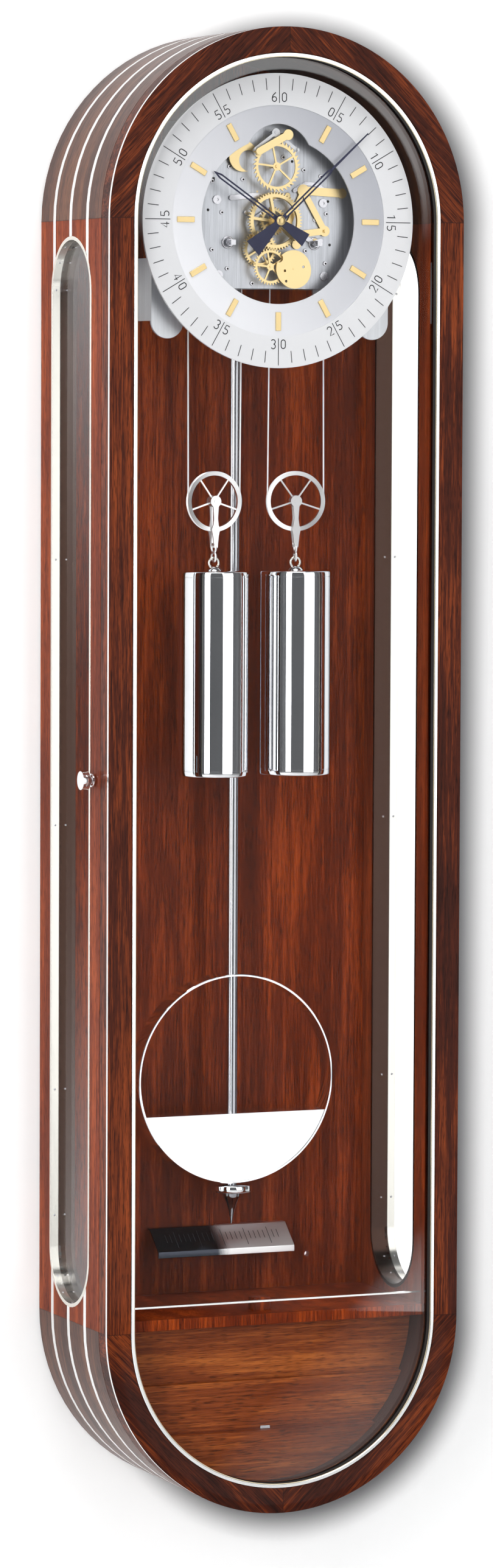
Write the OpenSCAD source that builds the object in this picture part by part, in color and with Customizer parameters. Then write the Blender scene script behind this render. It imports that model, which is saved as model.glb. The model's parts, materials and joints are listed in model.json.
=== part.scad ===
// Wall-hung regulator clock: two cable-driven weights and a seconds pendulum in a long case with round ends.
// Origin at the hanging hole in the back plane, +X right, +Z up, the front faces -Y. Millimetres.

/* [Case] */
// Outer radius of the round ends, half the width
case_r = 185; // [150:1:230]
// Distance between the centres of the two round ends
case_span = 1070; // [900:10:1300]
// Depth of the case body behind the door
body_d = 160.5; // [140:0.5:200]
// Thickness of the bent wooden wall
wall = 25; // [18:0.5:32]
// Thickness of the back board
back_t = 7.5; // [6:0.5:12]
// Height of the hanging hole above the dial centre
hook_rise = 70; // [50:1:85]
// Thickness of the floor board above the lower compartment
shelf_t = 11; // [8:0.5:16]

/* [Door] */
// Thickness of the door frame
door_t = 22; // [18:0.5:28]
// Width of the metal bezel inside the door frame
bezel_w = 4; // [3:0.5:8]
// Thickness of the door glass
glass_t = 4; // [3:0.5:5]
// Radius of the hinge knuckles
knuckle_r = 2.8; // [2.4:0.1:4]
// Length of one hinge
hinge_len = 43; // [30:1:60]

/* [Side windows] */
// Half the width of a side window, trim included
window_r = 53.3; // [40:0.1:56]
// Gap from the end centres of the case to the window's end
window_gap = 15.5; // [10:0.5:60]
// Visible rim of the window trim
trim_w = 3.7; // [2.5:0.1:6]

/* [Dial] */
// Radius of the dial
dial_r = 141.7; // [120:0.1:150]
// Radius of the dial opening
opening_r = 80; // [70:0.5:88]
// Length of an hour baton
baton_len = 17.8; // [12:0.1:24]
// Width of an hour baton
baton_w = 5.4; // [3:0.1:8]

/* [Hands] */
// Length of the minute hand from the centre
minute_len = 125.3; // [100:0.1:134]
// Length of the hour hand from the centre
hour_len = 83.5; // [60:0.1:95]
// Angle the minute hand shows, clockwise from twelve
minute_at = 47; // [0:1:359]
// Angle the hour hand shows, clockwise from twelve
hour_at = 304; // [0:1:359]

/* [Pendulum] */
// Length from the suspension to the bob's centre
pendulum_len = 928; // [800:1:1000]
// Diameter of the pendulum rod
rod_d = 10.8; // [8:0.1:14]
// Outer radius of the bob ring
bob_r = 104; // [80:1:110]
// Depth of the bob ring
bob_t = 24; // [18:0.5:28]

/* [Weights] */
// Radius of a weight
weight_r = 35; // [28:0.5:37]
// Height of a weight
weight_h = 200; // [150:1:240]
// Drop from the dial centre to the pulley centre
pulley_drop = 271.3; // [240:0.1:330]
// Diameter of the cable
cable_d = 1.4; // [1:0.1:2]
// Pitch radius of the cable on the pulley
pulley_pitch = 28.25; // [24:0.05:31]

/* [Hidden] */
$fn = 96;

// colours
wood_dark = [0.36, 0.1, 0.05];
wood_warm = [0.5, 0.17, 0.08];
nickel = [0.72, 0.7, 0.65];
silver = [0.86, 0.86, 0.87];
steel = [0.68, 0.69, 0.7];
gold = [0.86, 0.66, 0.3];
chrome_c = [0.82, 0.83, 0.85];
blue = [0.08, 0.1, 0.24];
clear = [0.8, 0.88, 0.92, 0.3];

// clearances
run_gap = 0.05;
end_gap = 0.15;
door_gap = 0.5;
tiny = 0.01;

// case
inner_r = case_r - wall;
z_dial = -hook_rise;
z_low = z_dial - case_span;
z_top = z_dial + case_r;
z_bottom = z_low - case_r;
y_body = -body_d;
y_door_back = y_body - door_gap;
y_door = y_door_back - door_t;
y_back = -back_t;
inlay_w = 6.7;
inlay_t = 0.6;
inlay_ys = [-36, -79.3, -123.4];
strip_w = 3.6;
strip_t = 1.2;
strip_lip = 0.5;
line_t = 2.6;
line_d = 0.6;

// windows
window_y = -(body_d + 2.9) / 2;
window_top = z_dial - window_gap - window_r;
window_bottom = z_low + window_gap - 2.1 + window_r;
trim_proud = 0.4;
pane_t = 3;
pane_depth = 7.5;
pane_inset = wall - pane_depth - pane_t;

// hanger
hole_r = 6;
slot_r = 3.2;
slot_up = 16;
plate_t = 2.5;
plate_w = 60;
plate_h = 70;
recess_d = 3.5;
stay_x = 100;
stay_z = z_low + 40;
stay_r = 2.6;

// floor of the weight compartment and the lower panel
shelf_z = z_low + 8;
shelf_half = inner_r - 0.2;
shelf_front = -158.5;
step_z = [shelf_z - shelf_t, z_low - 61, z_low - 110, z_bottom + wall];
step_y = [-128, -135, -143];
panel_rear = -112;

// hinge
hinge_x = case_r + knuckle_r + 0.2;
hinge_y = y_body - door_gap / 2;
hinge_zs = [z_dial - 132.5, z_low + 135];
leaf_t = 1.2;
leaf_w = 11;
pin_r = 1.5;
knuckle_n = 3;
leaf_gap = knuckle_r - 0.4;

// door glass
glass_front = y_door + 7;
glass_back = glass_front + glass_t;
bezel_proud = 0.4;
retainer_t = 3;

// latch knob
knob_y = -145;
knob_z = z_dial - 537.5;
knob_r = 9;
knob_out = 14;
shaft_r = 2.5;

// movement positions
mv_front = -138;
mv_plate = 3;
mv_rear = -88;
plate_half = 90;
plate_top = z_dial + 97;
plate_bottom = z_dial - 65;
barrel_x = 45.5;
barrel_z = z_dial - 21;
arbor_r = 2.5;
thin_r = 0.9;
pivot_r = 1.5;

// barrels and cable
cable_y = -101;
cable_gap = 0.06;
drum_r = pulley_pitch + 43.2 - barrel_x - cable_d / 2 - cable_gap;
drum_front = -127.5;
drum_rear = -98;
weight_x = 43.2;
pulley_z = z_dial - pulley_drop;
pulley_out = pulley_pitch + 1.05;
pulley_t = 5;
strap_head = 5.6;
spoke_w = 1.5;
rim_w = 2.9;
yaw_left = 5;
yaw_right = -10;
anchor_x = weight_x - pulley_pitch;
anchor_z = z_dial - 58;
weight_top = pulley_z - 67.7;

// planes of the going parts, seen from the side
great_l_y = mv_rear - 0.8;
great_r_y = mv_rear - 4.8;
wheel_y = -131.5;
third_y = -110;
crutch_y = -64;
anchor_y = -148.6;
escape_y = -150.6;
cock_y = -152.9;
cock_t = 1.4;
cock_foot = [11, 83];
cock_end = [-19, 66.5];
mv_front_gap = cock_y - mv_front;
rack_y = -139.2;
rack_t = 1.4;
rack_c = [55.7, -8.7];
cannon_y = -141.6;
cannon_t = 1.8;
hour_wheel_y = -145.6;
lower_y = -148;
cam_y = -151;
thin_t = 1.4;
pin_wheel_y = -132.6;
pin_back = -130.6;
tail_t = 1.8;
bell_y = -36;
square_y = -146;
square_len = 7;

// pillars, cable anchors and rails of the movement
pillar_r = 4;
pillar_at = [[82, z_dial + 85], [84, z_dial - 58]];
anchor_r = 2.5;
post_r = 3;
post_x = 100;
rail_z = z_dial - 64.5;
rail_h = 11.5;
rail_t = 8;
rail_half = 121.5;

// pallets and hammer
pallet_x = 22.6;
pallet_drop = 16.8;
crutch_len = 114;
hammer_c = [84, z_dial + 48];
pin_ring_r = 20;
bell_c = [45, z_dial + 108];

// gear train: teeth, modules and centres seen from the front
great_n = 70;
leaf_n = 11;
great_d = sqrt(barrel_x * barrel_x + 21 * 21);
great_m = 2 * great_d / (great_n + leaf_n);
mid_n = 56;
third_n = 48;
small_n = 8;
train_m = 1;
third_c = [-14.57, z_dial + 28.49];
escape_c = [0, z_dial + 52.4];
pin_c = [barrel_x + great_d * cos(75), barrel_z + great_d * sin(75)];
center_c = [0, z_dial];
left_c = [-barrel_x, barrel_z];
right_c = [barrel_x, barrel_z];
cannon_n = 28;
minute_n = 36;
minute_leaf_n = 6;
hour_n = 56;
lower_n = 35;
cam_n = 12;
minute_c = [-13.5, z_dial - 27.01];
minute_d = norm(minute_c - center_c);
cannon_m = 2 * minute_d / (cannon_n + minute_n);
hour_m = 2 * minute_d / (hour_n + minute_leaf_n);
lower_d = hour_m * (hour_n + lower_n) / 2;
lower_c = [-0.1134 * lower_d, z_dial - 0.99355 * lower_d];
cam_d = hour_m * (lower_n + cam_n) / 2;
cam_c = [lower_c[0] + 0.99695 * cam_d, lower_c[1] - 0.078 * cam_d];

// gear phases, so that the teeth mesh at rest
function heading(a, b) = atan2(b[1] - a[1], b[0] - a[0]);
function meshed(pa, na, th, nb) = th + 180 - (360 / nb) * (0.5 - (th - pa) * na / 360);
ph_great_l = 0;
ph_center_leaf = meshed(ph_great_l, great_n, heading(left_c, center_c), leaf_n);
ph_center = 0;
ph_third_leaf = meshed(ph_center, mid_n, heading(center_c, third_c), small_n);
ph_third = 0;
ph_escape_leaf = meshed(ph_third, third_n, heading(third_c, escape_c), small_n);
ph_pin_leaf = meshed(0, great_n, heading(right_c, pin_c), leaf_n);
ph_minute = meshed(0, cannon_n, heading(center_c, minute_c), minute_n);
ph_minute_leaf = 0;
ph_hour = meshed(ph_minute_leaf, minute_leaf_n, heading(minute_c, center_c), hour_n);
ph_lower = meshed(ph_hour, hour_n, heading(center_c, lower_c), lower_n);
ph_cam = meshed(ph_lower, lower_n, heading(lower_c, cam_c), cam_n);

// suspension and anchor
pivot_z = z_dial + 85;
rod_y = -49;
bob_z = pivot_z - pendulum_len;
bob_band = 2;
chord_drop = 34.6;
nut_z = bob_z - bob_r - 1;
thread_r = 2;
thread_len = 26;
escape_r = 24.5;
escape_n = 36;
anchor_pivot = [0, pivot_z];

// dial and hands
dial_y = -156.7;
dial_t = 2;
ring_r = 0.784 * dial_r;
ring_t = 1;
bulge_r = 35.4;
bulge_up = 57.7;
baton_c = 0.683 * dial_r;
hour_y = -160.2;
minute_y = -162.6;
hand_t = 0.8;
hand_bar = 1.5;
nut_r = 4.5;
pipe_r = 2.2;
hour_pipe_r = 3.4;
center_r = 1.2;

// place flat work standing up, its back at y, growing towards the front
module stand(y) {
    translate([0, y, 0]) rotate([90, 0, 0]) children();
}

// the same, about a point of the dial plane
module stand_at(c, y) {
    translate([c[0], y, c[1]]) rotate([90, 0, 0]) children();
}

// profile drawn in Y and Z, grown along X from x
module along_x(x) {
    translate([x, 0, 0]) rotate([90, 0, 90]) children();
}

// the outline of the case at radius r
module case_outline(r) {
    translate([0, z_dial]) circle(r);
    translate([0, z_low]) circle(r);
    translate([-r, z_low]) square([2 * r, case_span]);
}

// the outline of a side window at radius r, drawn in Y and Z
module window_outline(r) {
    translate([window_y, window_top]) circle(r);
    translate([window_y, window_bottom]) circle(r);
    translate([window_y - r, window_bottom]) square([2 * r, window_top - window_bottom]);
}

// a ring following the case between two radii
module case_ring(y, depth, r_out, r_in) {
    stand(y) linear_extrude(depth) difference() {
        case_outline(r_out);
        case_outline(r_in);
    }
}

// straight bar between two points
module rod(a, b, r) {
    d = b - a;
    translate(a) rotate([0, acos(d[2] / norm(d)), atan2(d[1], d[0])])
        cylinder(h = norm(d), r = r, $fn = 24);
}

// one flat link between two points of the dial plane, round at both ends
module link(a, b, ra, w) {
    translate(a) circle(ra, $fn = 48);
    translate(b) circle(w / 2, $fn = 48);
    translate(a) rotate([0, 0, heading(a, b)]) translate([0, -w / 2]) square([norm(b - a), w]);
}

// one flat bar between two points, square at both ends
module bar(a, b, w) {
    translate(a) rotate([0, 0, heading(a, b)]) translate([0, -w / 2]) square([norm(b - a), w]);
}

// tooth outline of a wheel: n teeth of module m, turned by ph
module teeth(n, m, ph, root, tip) {
    p = 360 / n;
    rp = n * m / 2;
    polygon([for (i = [0 : n - 1]) each [
        for (k = [[-root, -1.15], [-0.19, 0], [-tip, 0.85], [tip, 0.85], [0.19, 0], [root, -1.15]])
            (rp + k[1] * m) * [cos(ph + p * (i + k[0])), sin(ph + p * (i + k[0]))]]]);
}

// one window between two spokes, from the hub to the inside of the rim
module window_cut(hub, rr, span, w) {
    ah = asin(w / 2 / hub);
    ar = asin(w / 2 / rr);
    polygon(concat(
        [for (k = [0 : 4]) hub * [cos(ah + (span - 2 * ah) * k / 4), sin(ah + (span - 2 * ah) * k / 4)]],
        [for (k = [10 : -1 : 0])
            rr * [cos(ar + (span - 2 * ar) * k / 10), sin(ar + (span - 2 * ar) * k / 10)]]));
}

// the windows of a wheel with straight spokes
module windows(hub, rr, spokes, w, t) {
    for (i = [0 : spokes - 1])
        rotate([0, 0, 30 + i * 360 / spokes]) translate([0, 0, -1]) linear_extrude(t + 2)
            window_cut(hub, rr, 360 / spokes, w);
}

// spoked wheel, back at z 0, with a bore when one is asked for
module wheel(n, m, ph, t, rim, hub, spokes, bore) {
    difference() {
        linear_extrude(t) teeth(n, m, ph, 0.25, 0.09);
        windows(hub, n * m / 2 - 1.15 * m - rim, spokes, hub * 0.45, t);
        if (bore > 0) translate([0, 0, -1]) cylinder(h = t + 2, r = bore, $fn = 48);
    }
}

// small pinion, back at z 0
module pinion(n, m, ph, t) {
    linear_extrude(t) teeth(n, m, ph, 0.2, 0.08);
}

// round piece about Y from y0 back to front y1
module spindle(c, y0, y1, r) {
    stand_at(c, y0) cylinder(h = y0 - y1, r = r, $fn = 48);
}

module case_shell() {
    color(wood_dark) difference() {
        case_ring(0, body_d, case_r, inner_r);
        along_x(-case_r - 5) linear_extrude(2 * case_r + 10) window_outline(window_r);
        inlay_bands();
        stand(y_body + line_d) linear_extrude(line_d + 1) difference() {
            case_outline(inner_r + line_t);
            case_outline(inner_r - 1);
        }
        translate([-case_r - 1, knob_y, knob_z]) rotate([0, 90, 0])
            cylinder(h = wall + 2, r = shaft_r + run_gap, $fn = 48);
    }
}

// strips let into the outside, over both round ends
module inlay_bands() {
    difference() {
        for (y = inlay_ys) case_ring(y + inlay_w / 2, inlay_w, case_r + tiny, case_r - inlay_t);
        along_x(-case_r - 5) linear_extrude(2 * case_r + 10) window_outline(window_r);
        translate([-case_r - 5, -body_d, window_bottom])
            cube([2 * case_r + 10, body_d, window_top - window_bottom]);
    }
}

module white_inlays() {
    color(silver) {
        inlay_bands();
        case_ring(y_body + line_d, line_d, inner_r + line_t, inner_r);
    }
}

module back_panel() {
    color(wood_warm) difference() {
        stand(0) linear_extrude(back_t) case_outline(inner_r);
        translate([-plate_w / 2, -plate_t, -plate_h / 2]) cube([plate_w, plate_t + 1, plate_h]);
        stand(1) linear_extrude(plate_t + recess_d + 1) circle(hole_r + 3);
        stand(1) translate([-hole_r - 3, 0, 0]) cube([2 * hole_r + 6, slot_up + 3, plate_t + recess_d + 1]);
        for (s = [-1, 1]) spindle([s * stay_x, stay_z], 1, -back_t - 1, stay_r);
    }
}

module hanger_plate() {
    color(steel) difference() {
        translate([-plate_w / 2, -plate_t, -plate_h / 2]) cube([plate_w, plate_t, plate_h]);
        spindle([0, 0], 1, -plate_t - 1, hole_r);
        spindle([0, slot_up], 1, -plate_t - 1, slot_r);
        translate([-slot_r, -plate_t - 1, 0]) cube([2 * slot_r, plate_t + 2, slot_up]);
        for (x = [-1, 1]) for (z = [-1, 1]) spindle([x * 22, z * 27], 1, -plate_t - 1, 2.2);
    }
}

module shelf() {
    color(wood_warm) {
        stand(y_back) linear_extrude(-shelf_front - back_t) intersection() {
            case_outline(shelf_half);
            translate([-case_r, shelf_z - shelf_t]) square([2 * case_r, shelf_t]);
        }
        translate([-14, -140, shelf_z - tiny]) cube([18, 14, 13]);
    }
}

module lower_panel() {
    color(wood_warm) for (i = [0 : 2]) stand(panel_rear) linear_extrude(panel_rear - step_y[i])
        intersection() {
        case_outline(inner_r - 0.2);
        translate([-case_r, step_z[i + 1] - 1])
            square([2 * case_r, step_z[i] - step_z[i + 1] + (i == 0 ? 1 : 1 + tiny)]);
    }
}

module panel_catches() {
    color(steel) {
        translate([-5, step_y[0] - 2, shelf_z - shelf_t - 3.2]) cube([10, 2, 3]);
        translate([-5, step_y[1] - 2, step_z[2] + 0.5]) cube([10, 2, 3]);
    }
}

module window_trims() {
    color(nickel) for (s = [0, 1]) mirror([s, 0, 0]) along_x(inner_r) linear_extrude(wall + trim_proud)
        difference() {
        window_outline(window_r);
        window_outline(window_r - trim_w);
    }
}

module window_glasses() {
    color(clear) for (s = [0, 1]) mirror([s, 0, 0]) along_x(inner_r + pane_inset) linear_extrude(pane_t)
        window_outline(window_r - trim_w);
}

module beat_scale() {
    color(chrome_c) along_x(-73.25) linear_extrude(146.5) polygon([
        [y_back, bob_z - 152], [-14, bob_z - 152], [-38, bob_z - 172.5], [-38, bob_z - 178.7],
        [-36.4, bob_z - 178.7], [-36.4, bob_z - 173.4], [-13.4, bob_z - 153.8], [y_back, bob_z - 153.8]]);
}

// knuckles of one hinge that belong to one leaf
module knuckles(z, own, bore) {
    kl = hinge_len / knuckle_n;
    for (i = own) difference() {
        translate([hinge_x, hinge_y, z - hinge_len / 2 + i * kl + end_gap / 2])
            cylinder(h = kl - end_gap, r = knuckle_r, $fn = 48);
        translate([hinge_x, hinge_y, z - hinge_len]) cylinder(h = 2 * hinge_len, r = bore, $fn = 48);
    }
}

// one leaf on the side face, joined to its knuckles
module leaf(z, own, side, bore) {
    kl = hinge_len / knuckle_n;
    difference() {
        union() {
            translate([case_r, side > 0 ? hinge_y + leaf_gap : hinge_y - leaf_w, z - hinge_len / 2])
                cube([leaf_t, leaf_w - leaf_gap, hinge_len]);
            for (i = own) translate([case_r, side > 0 ? hinge_y : hinge_y - knuckle_r - 1,
                z - hinge_len / 2 + i * kl + end_gap / 2])
                cube([leaf_t, knuckle_r + 1, kl - end_gap]);
            knuckles(z, own, bore);
        }
        translate([hinge_x, hinge_y, z - hinge_len]) cylinder(h = 2 * hinge_len, r = bore, $fn = 48);
    }
}

module case_hinge_leaves() {
    color(chrome_c) for (z = hinge_zs) {
        leaf(z, [0, 2], 1, pin_r - 0.2);
        translate([hinge_x, hinge_y, z - hinge_len / 2 - 1.5])
            cylinder(h = hinge_len + 3, r = pin_r, $fn = 48);
    }
}

module door_hinge_leaves() {
    color(chrome_c) for (z = hinge_zs) leaf(z, [1], -1, pin_r + run_gap);
}

module door_frame() {
    color(wood_dark) difference() {
        case_ring(y_door_back, door_t, case_r, inner_r);
        stand(y_door + strip_lip + strip_w) linear_extrude(strip_w) difference() {
            case_outline(case_r + 1);
            case_outline(case_r - strip_t);
        }
    }
}

module door_strip() {
    color(silver) case_ring(y_door + strip_lip + strip_w, strip_w, case_r, case_r - strip_t);
}

module door_bezel() {
    color(silver) case_ring(glass_front, glass_front - y_door + bezel_proud, inner_r, inner_r - bezel_w);
}

module door_glass() {
    color(clear) stand(glass_back) linear_extrude(glass_t) case_outline(inner_r);
}

module glass_retainer() {
    color(steel) case_ring(glass_back + retainer_t, retainer_t, inner_r, inner_r - bezel_w);
}

module latch_knob() {
    color(chrome_c) translate([-case_r, knob_y, knob_z]) rotate([0, -90, 0]) {
        translate([0, 0, -wall - 3]) cylinder(h = wall + 4, r = shaft_r, $fn = 48);
        translate([0, 0, 0.5]) cylinder(h = 3, r = knob_r * 0.72);
        translate([0, 0, 3.5]) cylinder(h = 4, r = 4);
        translate([0, 0, 7]) cylinder(h = knob_out - 7, r = knob_r);
        translate([-4, -4, -wall - 5]) cube([18, 8, 2.5]);
    }
}

module movement_brackets() {
    color(silver) {
        for (s = [0, 1]) mirror([s, 0, 0]) {
            stand(mv_front + mv_plate) linear_extrude(mv_plate) union() {
                translate([107.75, z_dial - 96.9]) circle(16.75);
                translate([91, z_dial - 96.9]) square([33.5, 110]);
            }
            translate([121.5, mv_front + tiny, z_dial - 96.9]) cube([3, -mv_front - back_t - 2 * tiny, 60]);
            translate([100, y_back - 3, z_dial - 96.9]) cube([24.5, 3, 60]);
        }
        difference() {
            translate([-rail_half, mv_front + mv_plate, rail_z]) cube([2 * rail_half, rail_t, rail_h]);
            for (s = [-1, 1]) {
                spindle([s * pillar_at[1][0], pillar_at[1][1]], mv_rear, mv_front, pillar_r + run_gap);
                spindle([s * anchor_x, anchor_z], mv_rear, mv_front, anchor_r + run_gap);
            }
        }
        translate([-rail_half, mv_rear + mv_plate, rail_z]) cube([2 * rail_half, rail_t, rail_h]);
    }
}

module plate_holes(y, list) {
    for (h = list) spindle([h[0], h[1]], y + 10, y - 10, h[2] + run_gap);
}

module front_plate() {
    color(steel) difference() {
        translate([-plate_half, mv_front, plate_bottom])
            cube([2 * plate_half, mv_plate, plate_top - plate_bottom]);
        plate_holes(mv_front, [[-barrel_x, barrel_z, arbor_r + 1], [barrel_x, barrel_z, arbor_r + 1],
            [0, z_dial, pivot_r], [escape_c[0], escape_c[1], pivot_r], [0, pivot_z, pivot_r],
            [third_c[0], third_c[1], thin_r], [pin_c[0], pin_c[1], thin_r],
                [minute_c[0], minute_c[1], thin_r],
            [lower_c[0], lower_c[1], thin_r], [cam_c[0], cam_c[1], thin_r],
            [rack_c[0], z_dial + rack_c[1], pivot_r]]);
        translate([-67, mv_front - 1, z_dial + 37.4]) cube([8, mv_plate + 2, 4]);
    }
}

module back_plate() {
    color(steel) difference() {
        translate([-plate_half, mv_rear, plate_bottom])
            cube([2 * plate_half, mv_plate, plate_top - plate_bottom]);
        plate_holes(mv_rear, [[-barrel_x, barrel_z, pivot_r], [barrel_x, barrel_z, pivot_r],
            [0, z_dial, pivot_r], [escape_c[0], escape_c[1], thin_r], [0, pivot_z, pivot_r],
            [third_c[0], third_c[1], thin_r], [pin_c[0], pin_c[1], thin_r],
            [hammer_c[0], hammer_c[1], pivot_r]]);
    }
}

module pillars() {
    color(steel) {
        for (s = [-1, 1]) for (c = pillar_at) spindle([s * c[0], c[1]], mv_rear, mv_front + mv_plate,
            pillar_r);
        for (s = [-1, 1]) spindle([s * anchor_x, anchor_z], mv_rear, mv_front + mv_plate, anchor_r);
        for (s = [-1, 1]) for (z = [z_dial - 85, z_dial + 5])
            spindle([s * post_x, z], mv_front, dial_y + dial_t, post_r);
        for (c = [[-57, 20], [54.3, 18.2], [55.9, -52.3], [-55, -52]])
            stand_at([c[0], z_dial + c[1]], mv_front) difference() {
                cylinder(h = 1.6, r = 4.2, $fn = 48);
                translate([0, 0, 0.8]) cylinder(h = 2, r = 1.6, $fn = 6);
            }
    }
}

module front_cocks() {
    color(gold) {
        stand_at(center_c, cock_y) {
            linear_extrude(cock_t) link(cock_foot, cock_end, 5.2, 7);
            translate([cock_foot[0], cock_foot[1], mv_front_gap]) cylinder(h = -mv_front_gap + 0.1,
                r = 2.2, $fn = 48);
        }
        stand_at([-31, z_dial + 62], mv_front - 3) difference() {
            cylinder(h = 1.6, r = 15);
            translate([5.5, -4, -1]) cylinder(h = 4, r = 10);
            translate([2, -14, -1]) cube([20, 12, 4]);
        }
        spindle([-38, z_dial + 70], mv_front, mv_front - 3, 2);
    }
}

module back_cock() {
    color(steel) {
        difference() {
            translate([-14, rod_y - 6, pivot_z + 3]) cube([28, 12, 14]);
            translate([-0.7, rod_y - 7, pivot_z]) cube([1.4, 14, 12]);
        }
        translate([-14, mv_rear + mv_plate, pivot_z + 9])
            cube([28, rod_y - 6 - mv_rear - mv_plate + tiny, 8]);
        for (s = [-1, 1]) translate([s * 11 - 3, rod_y + 6 - tiny, pivot_z + 9])
            cube([6, -rod_y - 6 - back_t, 8]);
    }
}

module bell() {
    color(gold) {
        stand_at(bell_c, bell_y) difference() {
            rotate_extrude() polygon([[0, 22], [5, 22], [20, 18], [28, 8], [30, 0], [28.6, 0],
                [26.5, 7.4], [19, 16.4], [5, 20], [0, 20]]);
        }
        spindle(bell_c, y_back, bell_y - 20.2, 3);
    }
}

module dial_opening() {
    circle(opening_r);
    translate([0, bulge_up]) circle(bulge_r);
}

module dial_plate() {
    color(steel) stand_at([0, z_dial], dial_y + dial_t) linear_extrude(dial_t) difference() {
        circle(dial_r);
        dial_opening();
    }
}

module dial_ring() {
    color(silver) stand_at([0, z_dial], dial_y) linear_extrude(ring_t) difference() {
        circle(dial_r);
        circle(ring_r);
    }
}

module hour_batons() {
    color(gold) for (h = [1 : 11]) stand_at([0, z_dial], dial_y) rotate([0, 0, -30 * h])
        translate([-baton_w / 2, baton_c - baton_len / 2, 0]) cube([baton_w, baton_len, 1.4]);
}

// open frame of a hand: two bars that meet at the tip
module hand_frame(from, to, w_in, w_out, bar, t) {
    linear_extrude(t) difference() {
        polygon([[-w_in, from], [-w_out, to - 3.4 * w_out], [0, to], [w_out, to - 3.4 * w_out],
            [w_in, from]]);
        polygon([[-w_in + bar, from + 3], [-w_out + bar, to - 3.4 * w_out - bar], [0, to - 3.4 * bar],
            [w_out - bar, to - 3.4 * w_out - bar], [w_in - bar, from + 3]]);
    }
}

module minute_hand() {
    color(blue) stand_at([0, z_dial], minute_y + hand_t) rotate([0, 0, -minute_at]) difference() {
        union() {
            hand_frame(5, 0.545 * dial_r, 2.3, 2.5, hand_bar, hand_t);
            linear_extrude(hand_t)
                polygon([[-1.2, 0.53 * dial_r], [-0.55, minute_len], [0.55, minute_len],
                    [1.2, 0.53 * dial_r]]);
            linear_extrude(hand_t)
                polygon([[-9.3, -39.5], [-2.4, 0], [-2.3, 8], [2.3, 8], [2.4, 0], [9.3, -39.5]]);
            cylinder(h = hand_t, r = 5);
        }
        translate([0, 0, -1]) cylinder(h = hand_t + 2, r = pipe_r);
    }
}

module hour_hand() {
    color(blue) stand_at([0, z_dial], hour_y + hand_t) rotate([0, 0, -hour_at]) difference() {
        union() {
            hand_frame(5, hour_len, 2.3, 2.5, hand_bar, hand_t);
            linear_extrude(hand_t)
                polygon([[-7, -32.9], [-2.6, 0], [-2.3, 8], [2.3, 8], [2.6, 0], [7, -32.9]]);
            cylinder(h = hand_t, r = 5.6);
        }
        translate([0, 0, -1]) cylinder(h = hand_t + 2, r = hour_pipe_r);
    }
}

module hand_nut() {
    color(gold) stand_at([0, z_dial], minute_y)
        rotate_extrude() polygon([[0, 0], [nut_r, 0], [nut_r, 0.6], [4.2, 1.1], [3.6, 1.55], [2.8, 1.9],
            [1.8, 2.12], [0.8, 2.2], [0, 2.2]]);
}

module cannon_wheel() {
    color(gold) stand_at(center_c, cannon_y) difference() {
        union() {
            wheel(cannon_n, cannon_m, 0, cannon_t, 2, 4, 4, 0);
            cylinder(h = cannon_y - minute_y, r = pipe_r, $fn = 48);
        }
        translate([0, 0, -1]) cylinder(h = 40, r = center_r + run_gap, $fn = 48);
    }
}

module hour_wheel() {
    color(gold) stand_at(center_c, hour_wheel_y) difference() {
        union() {
            wheel(hour_n, hour_m, ph_hour, 3.8, 3.2, 6, 5, 0);
            cylinder(h = hour_wheel_y - hour_y, r = hour_pipe_r, $fn = 48);
        }
        translate([0, 0, -1]) cylinder(h = 40, r = pipe_r + run_gap, $fn = 48);
    }
}

module minute_wheel() {
    color(gold) {
        stand_at(minute_c, cannon_y) wheel(minute_n, cannon_m, ph_minute, cannon_t, 2.4, 3.6, 4, 0);
        stand_at(minute_c, cannon_y - cannon_t + 0.1) pinion(minute_leaf_n, hour_m, ph_minute_leaf, 3.9);
        spindle(minute_c, mv_front + mv_plate, -147.6, thin_r);
    }
}

module lower_wheel() {
    color(gold) {
        stand_at(lower_c, lower_y) wheel(lower_n, hour_m, ph_lower, thin_t, 2.2, 3.6, 5, 0);
        spindle(lower_c, mv_front + mv_plate, lower_y - thin_t - 1, thin_r);
    }
}

module cam_disc() {
    color(gold) {
        stand_at(cam_c, lower_y) pinion(cam_n, hour_m, ph_cam, thin_t);
        stand_at(cam_c, cam_y) difference() {
            union() {
                cylinder(h = thin_t, r = 18);
                translate([1, -1.5, 0]) cylinder(h = thin_t, r = 17.6);
            }
            translate([-15, 10, -1]) cylinder(h = 4, r = 4);
            for (c = [[-9, -2], [-7.5, -12], [10.5, 2]]) translate([c[0], c[1], -1])
                cylinder(h = 4, r = 1.3, $fn = 32);
        }
        spindle(cam_c, mv_front + mv_plate, cam_y - thin_t - 0.6, thin_r);
    }
}

module strike_rack() {
    pivot = rack_c;
    apex = [33, 30];
    foot = [18, -2];
    tip = [73.9, 28];
    knee = [30, -12];
    toe = [26, -22];
    color(gold) {
        stand_at(center_c, rack_y) linear_extrude(rack_t) {
            bar(pivot, apex, 6);
            bar(apex, foot, 5);
            bar(apex, tip, 8);
            bar(pivot, knee, 6.4);
            bar(knee, toe, 7);
            translate(pivot) circle(5.2, $fn = 48);
            translate(apex) circle(6, $fn = 48);
            translate(foot) circle(3.4, $fn = 48);
            translate(tip) circle(4.9, $fn = 48);
            translate(knee) circle(4.2, $fn = 48);
            translate(toe) circle(4.6, $fn = 48);
        }
        spindle([pivot[0], z_dial + pivot[1]], mv_front + mv_plate, -143, pivot_r);
    }
}

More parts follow.
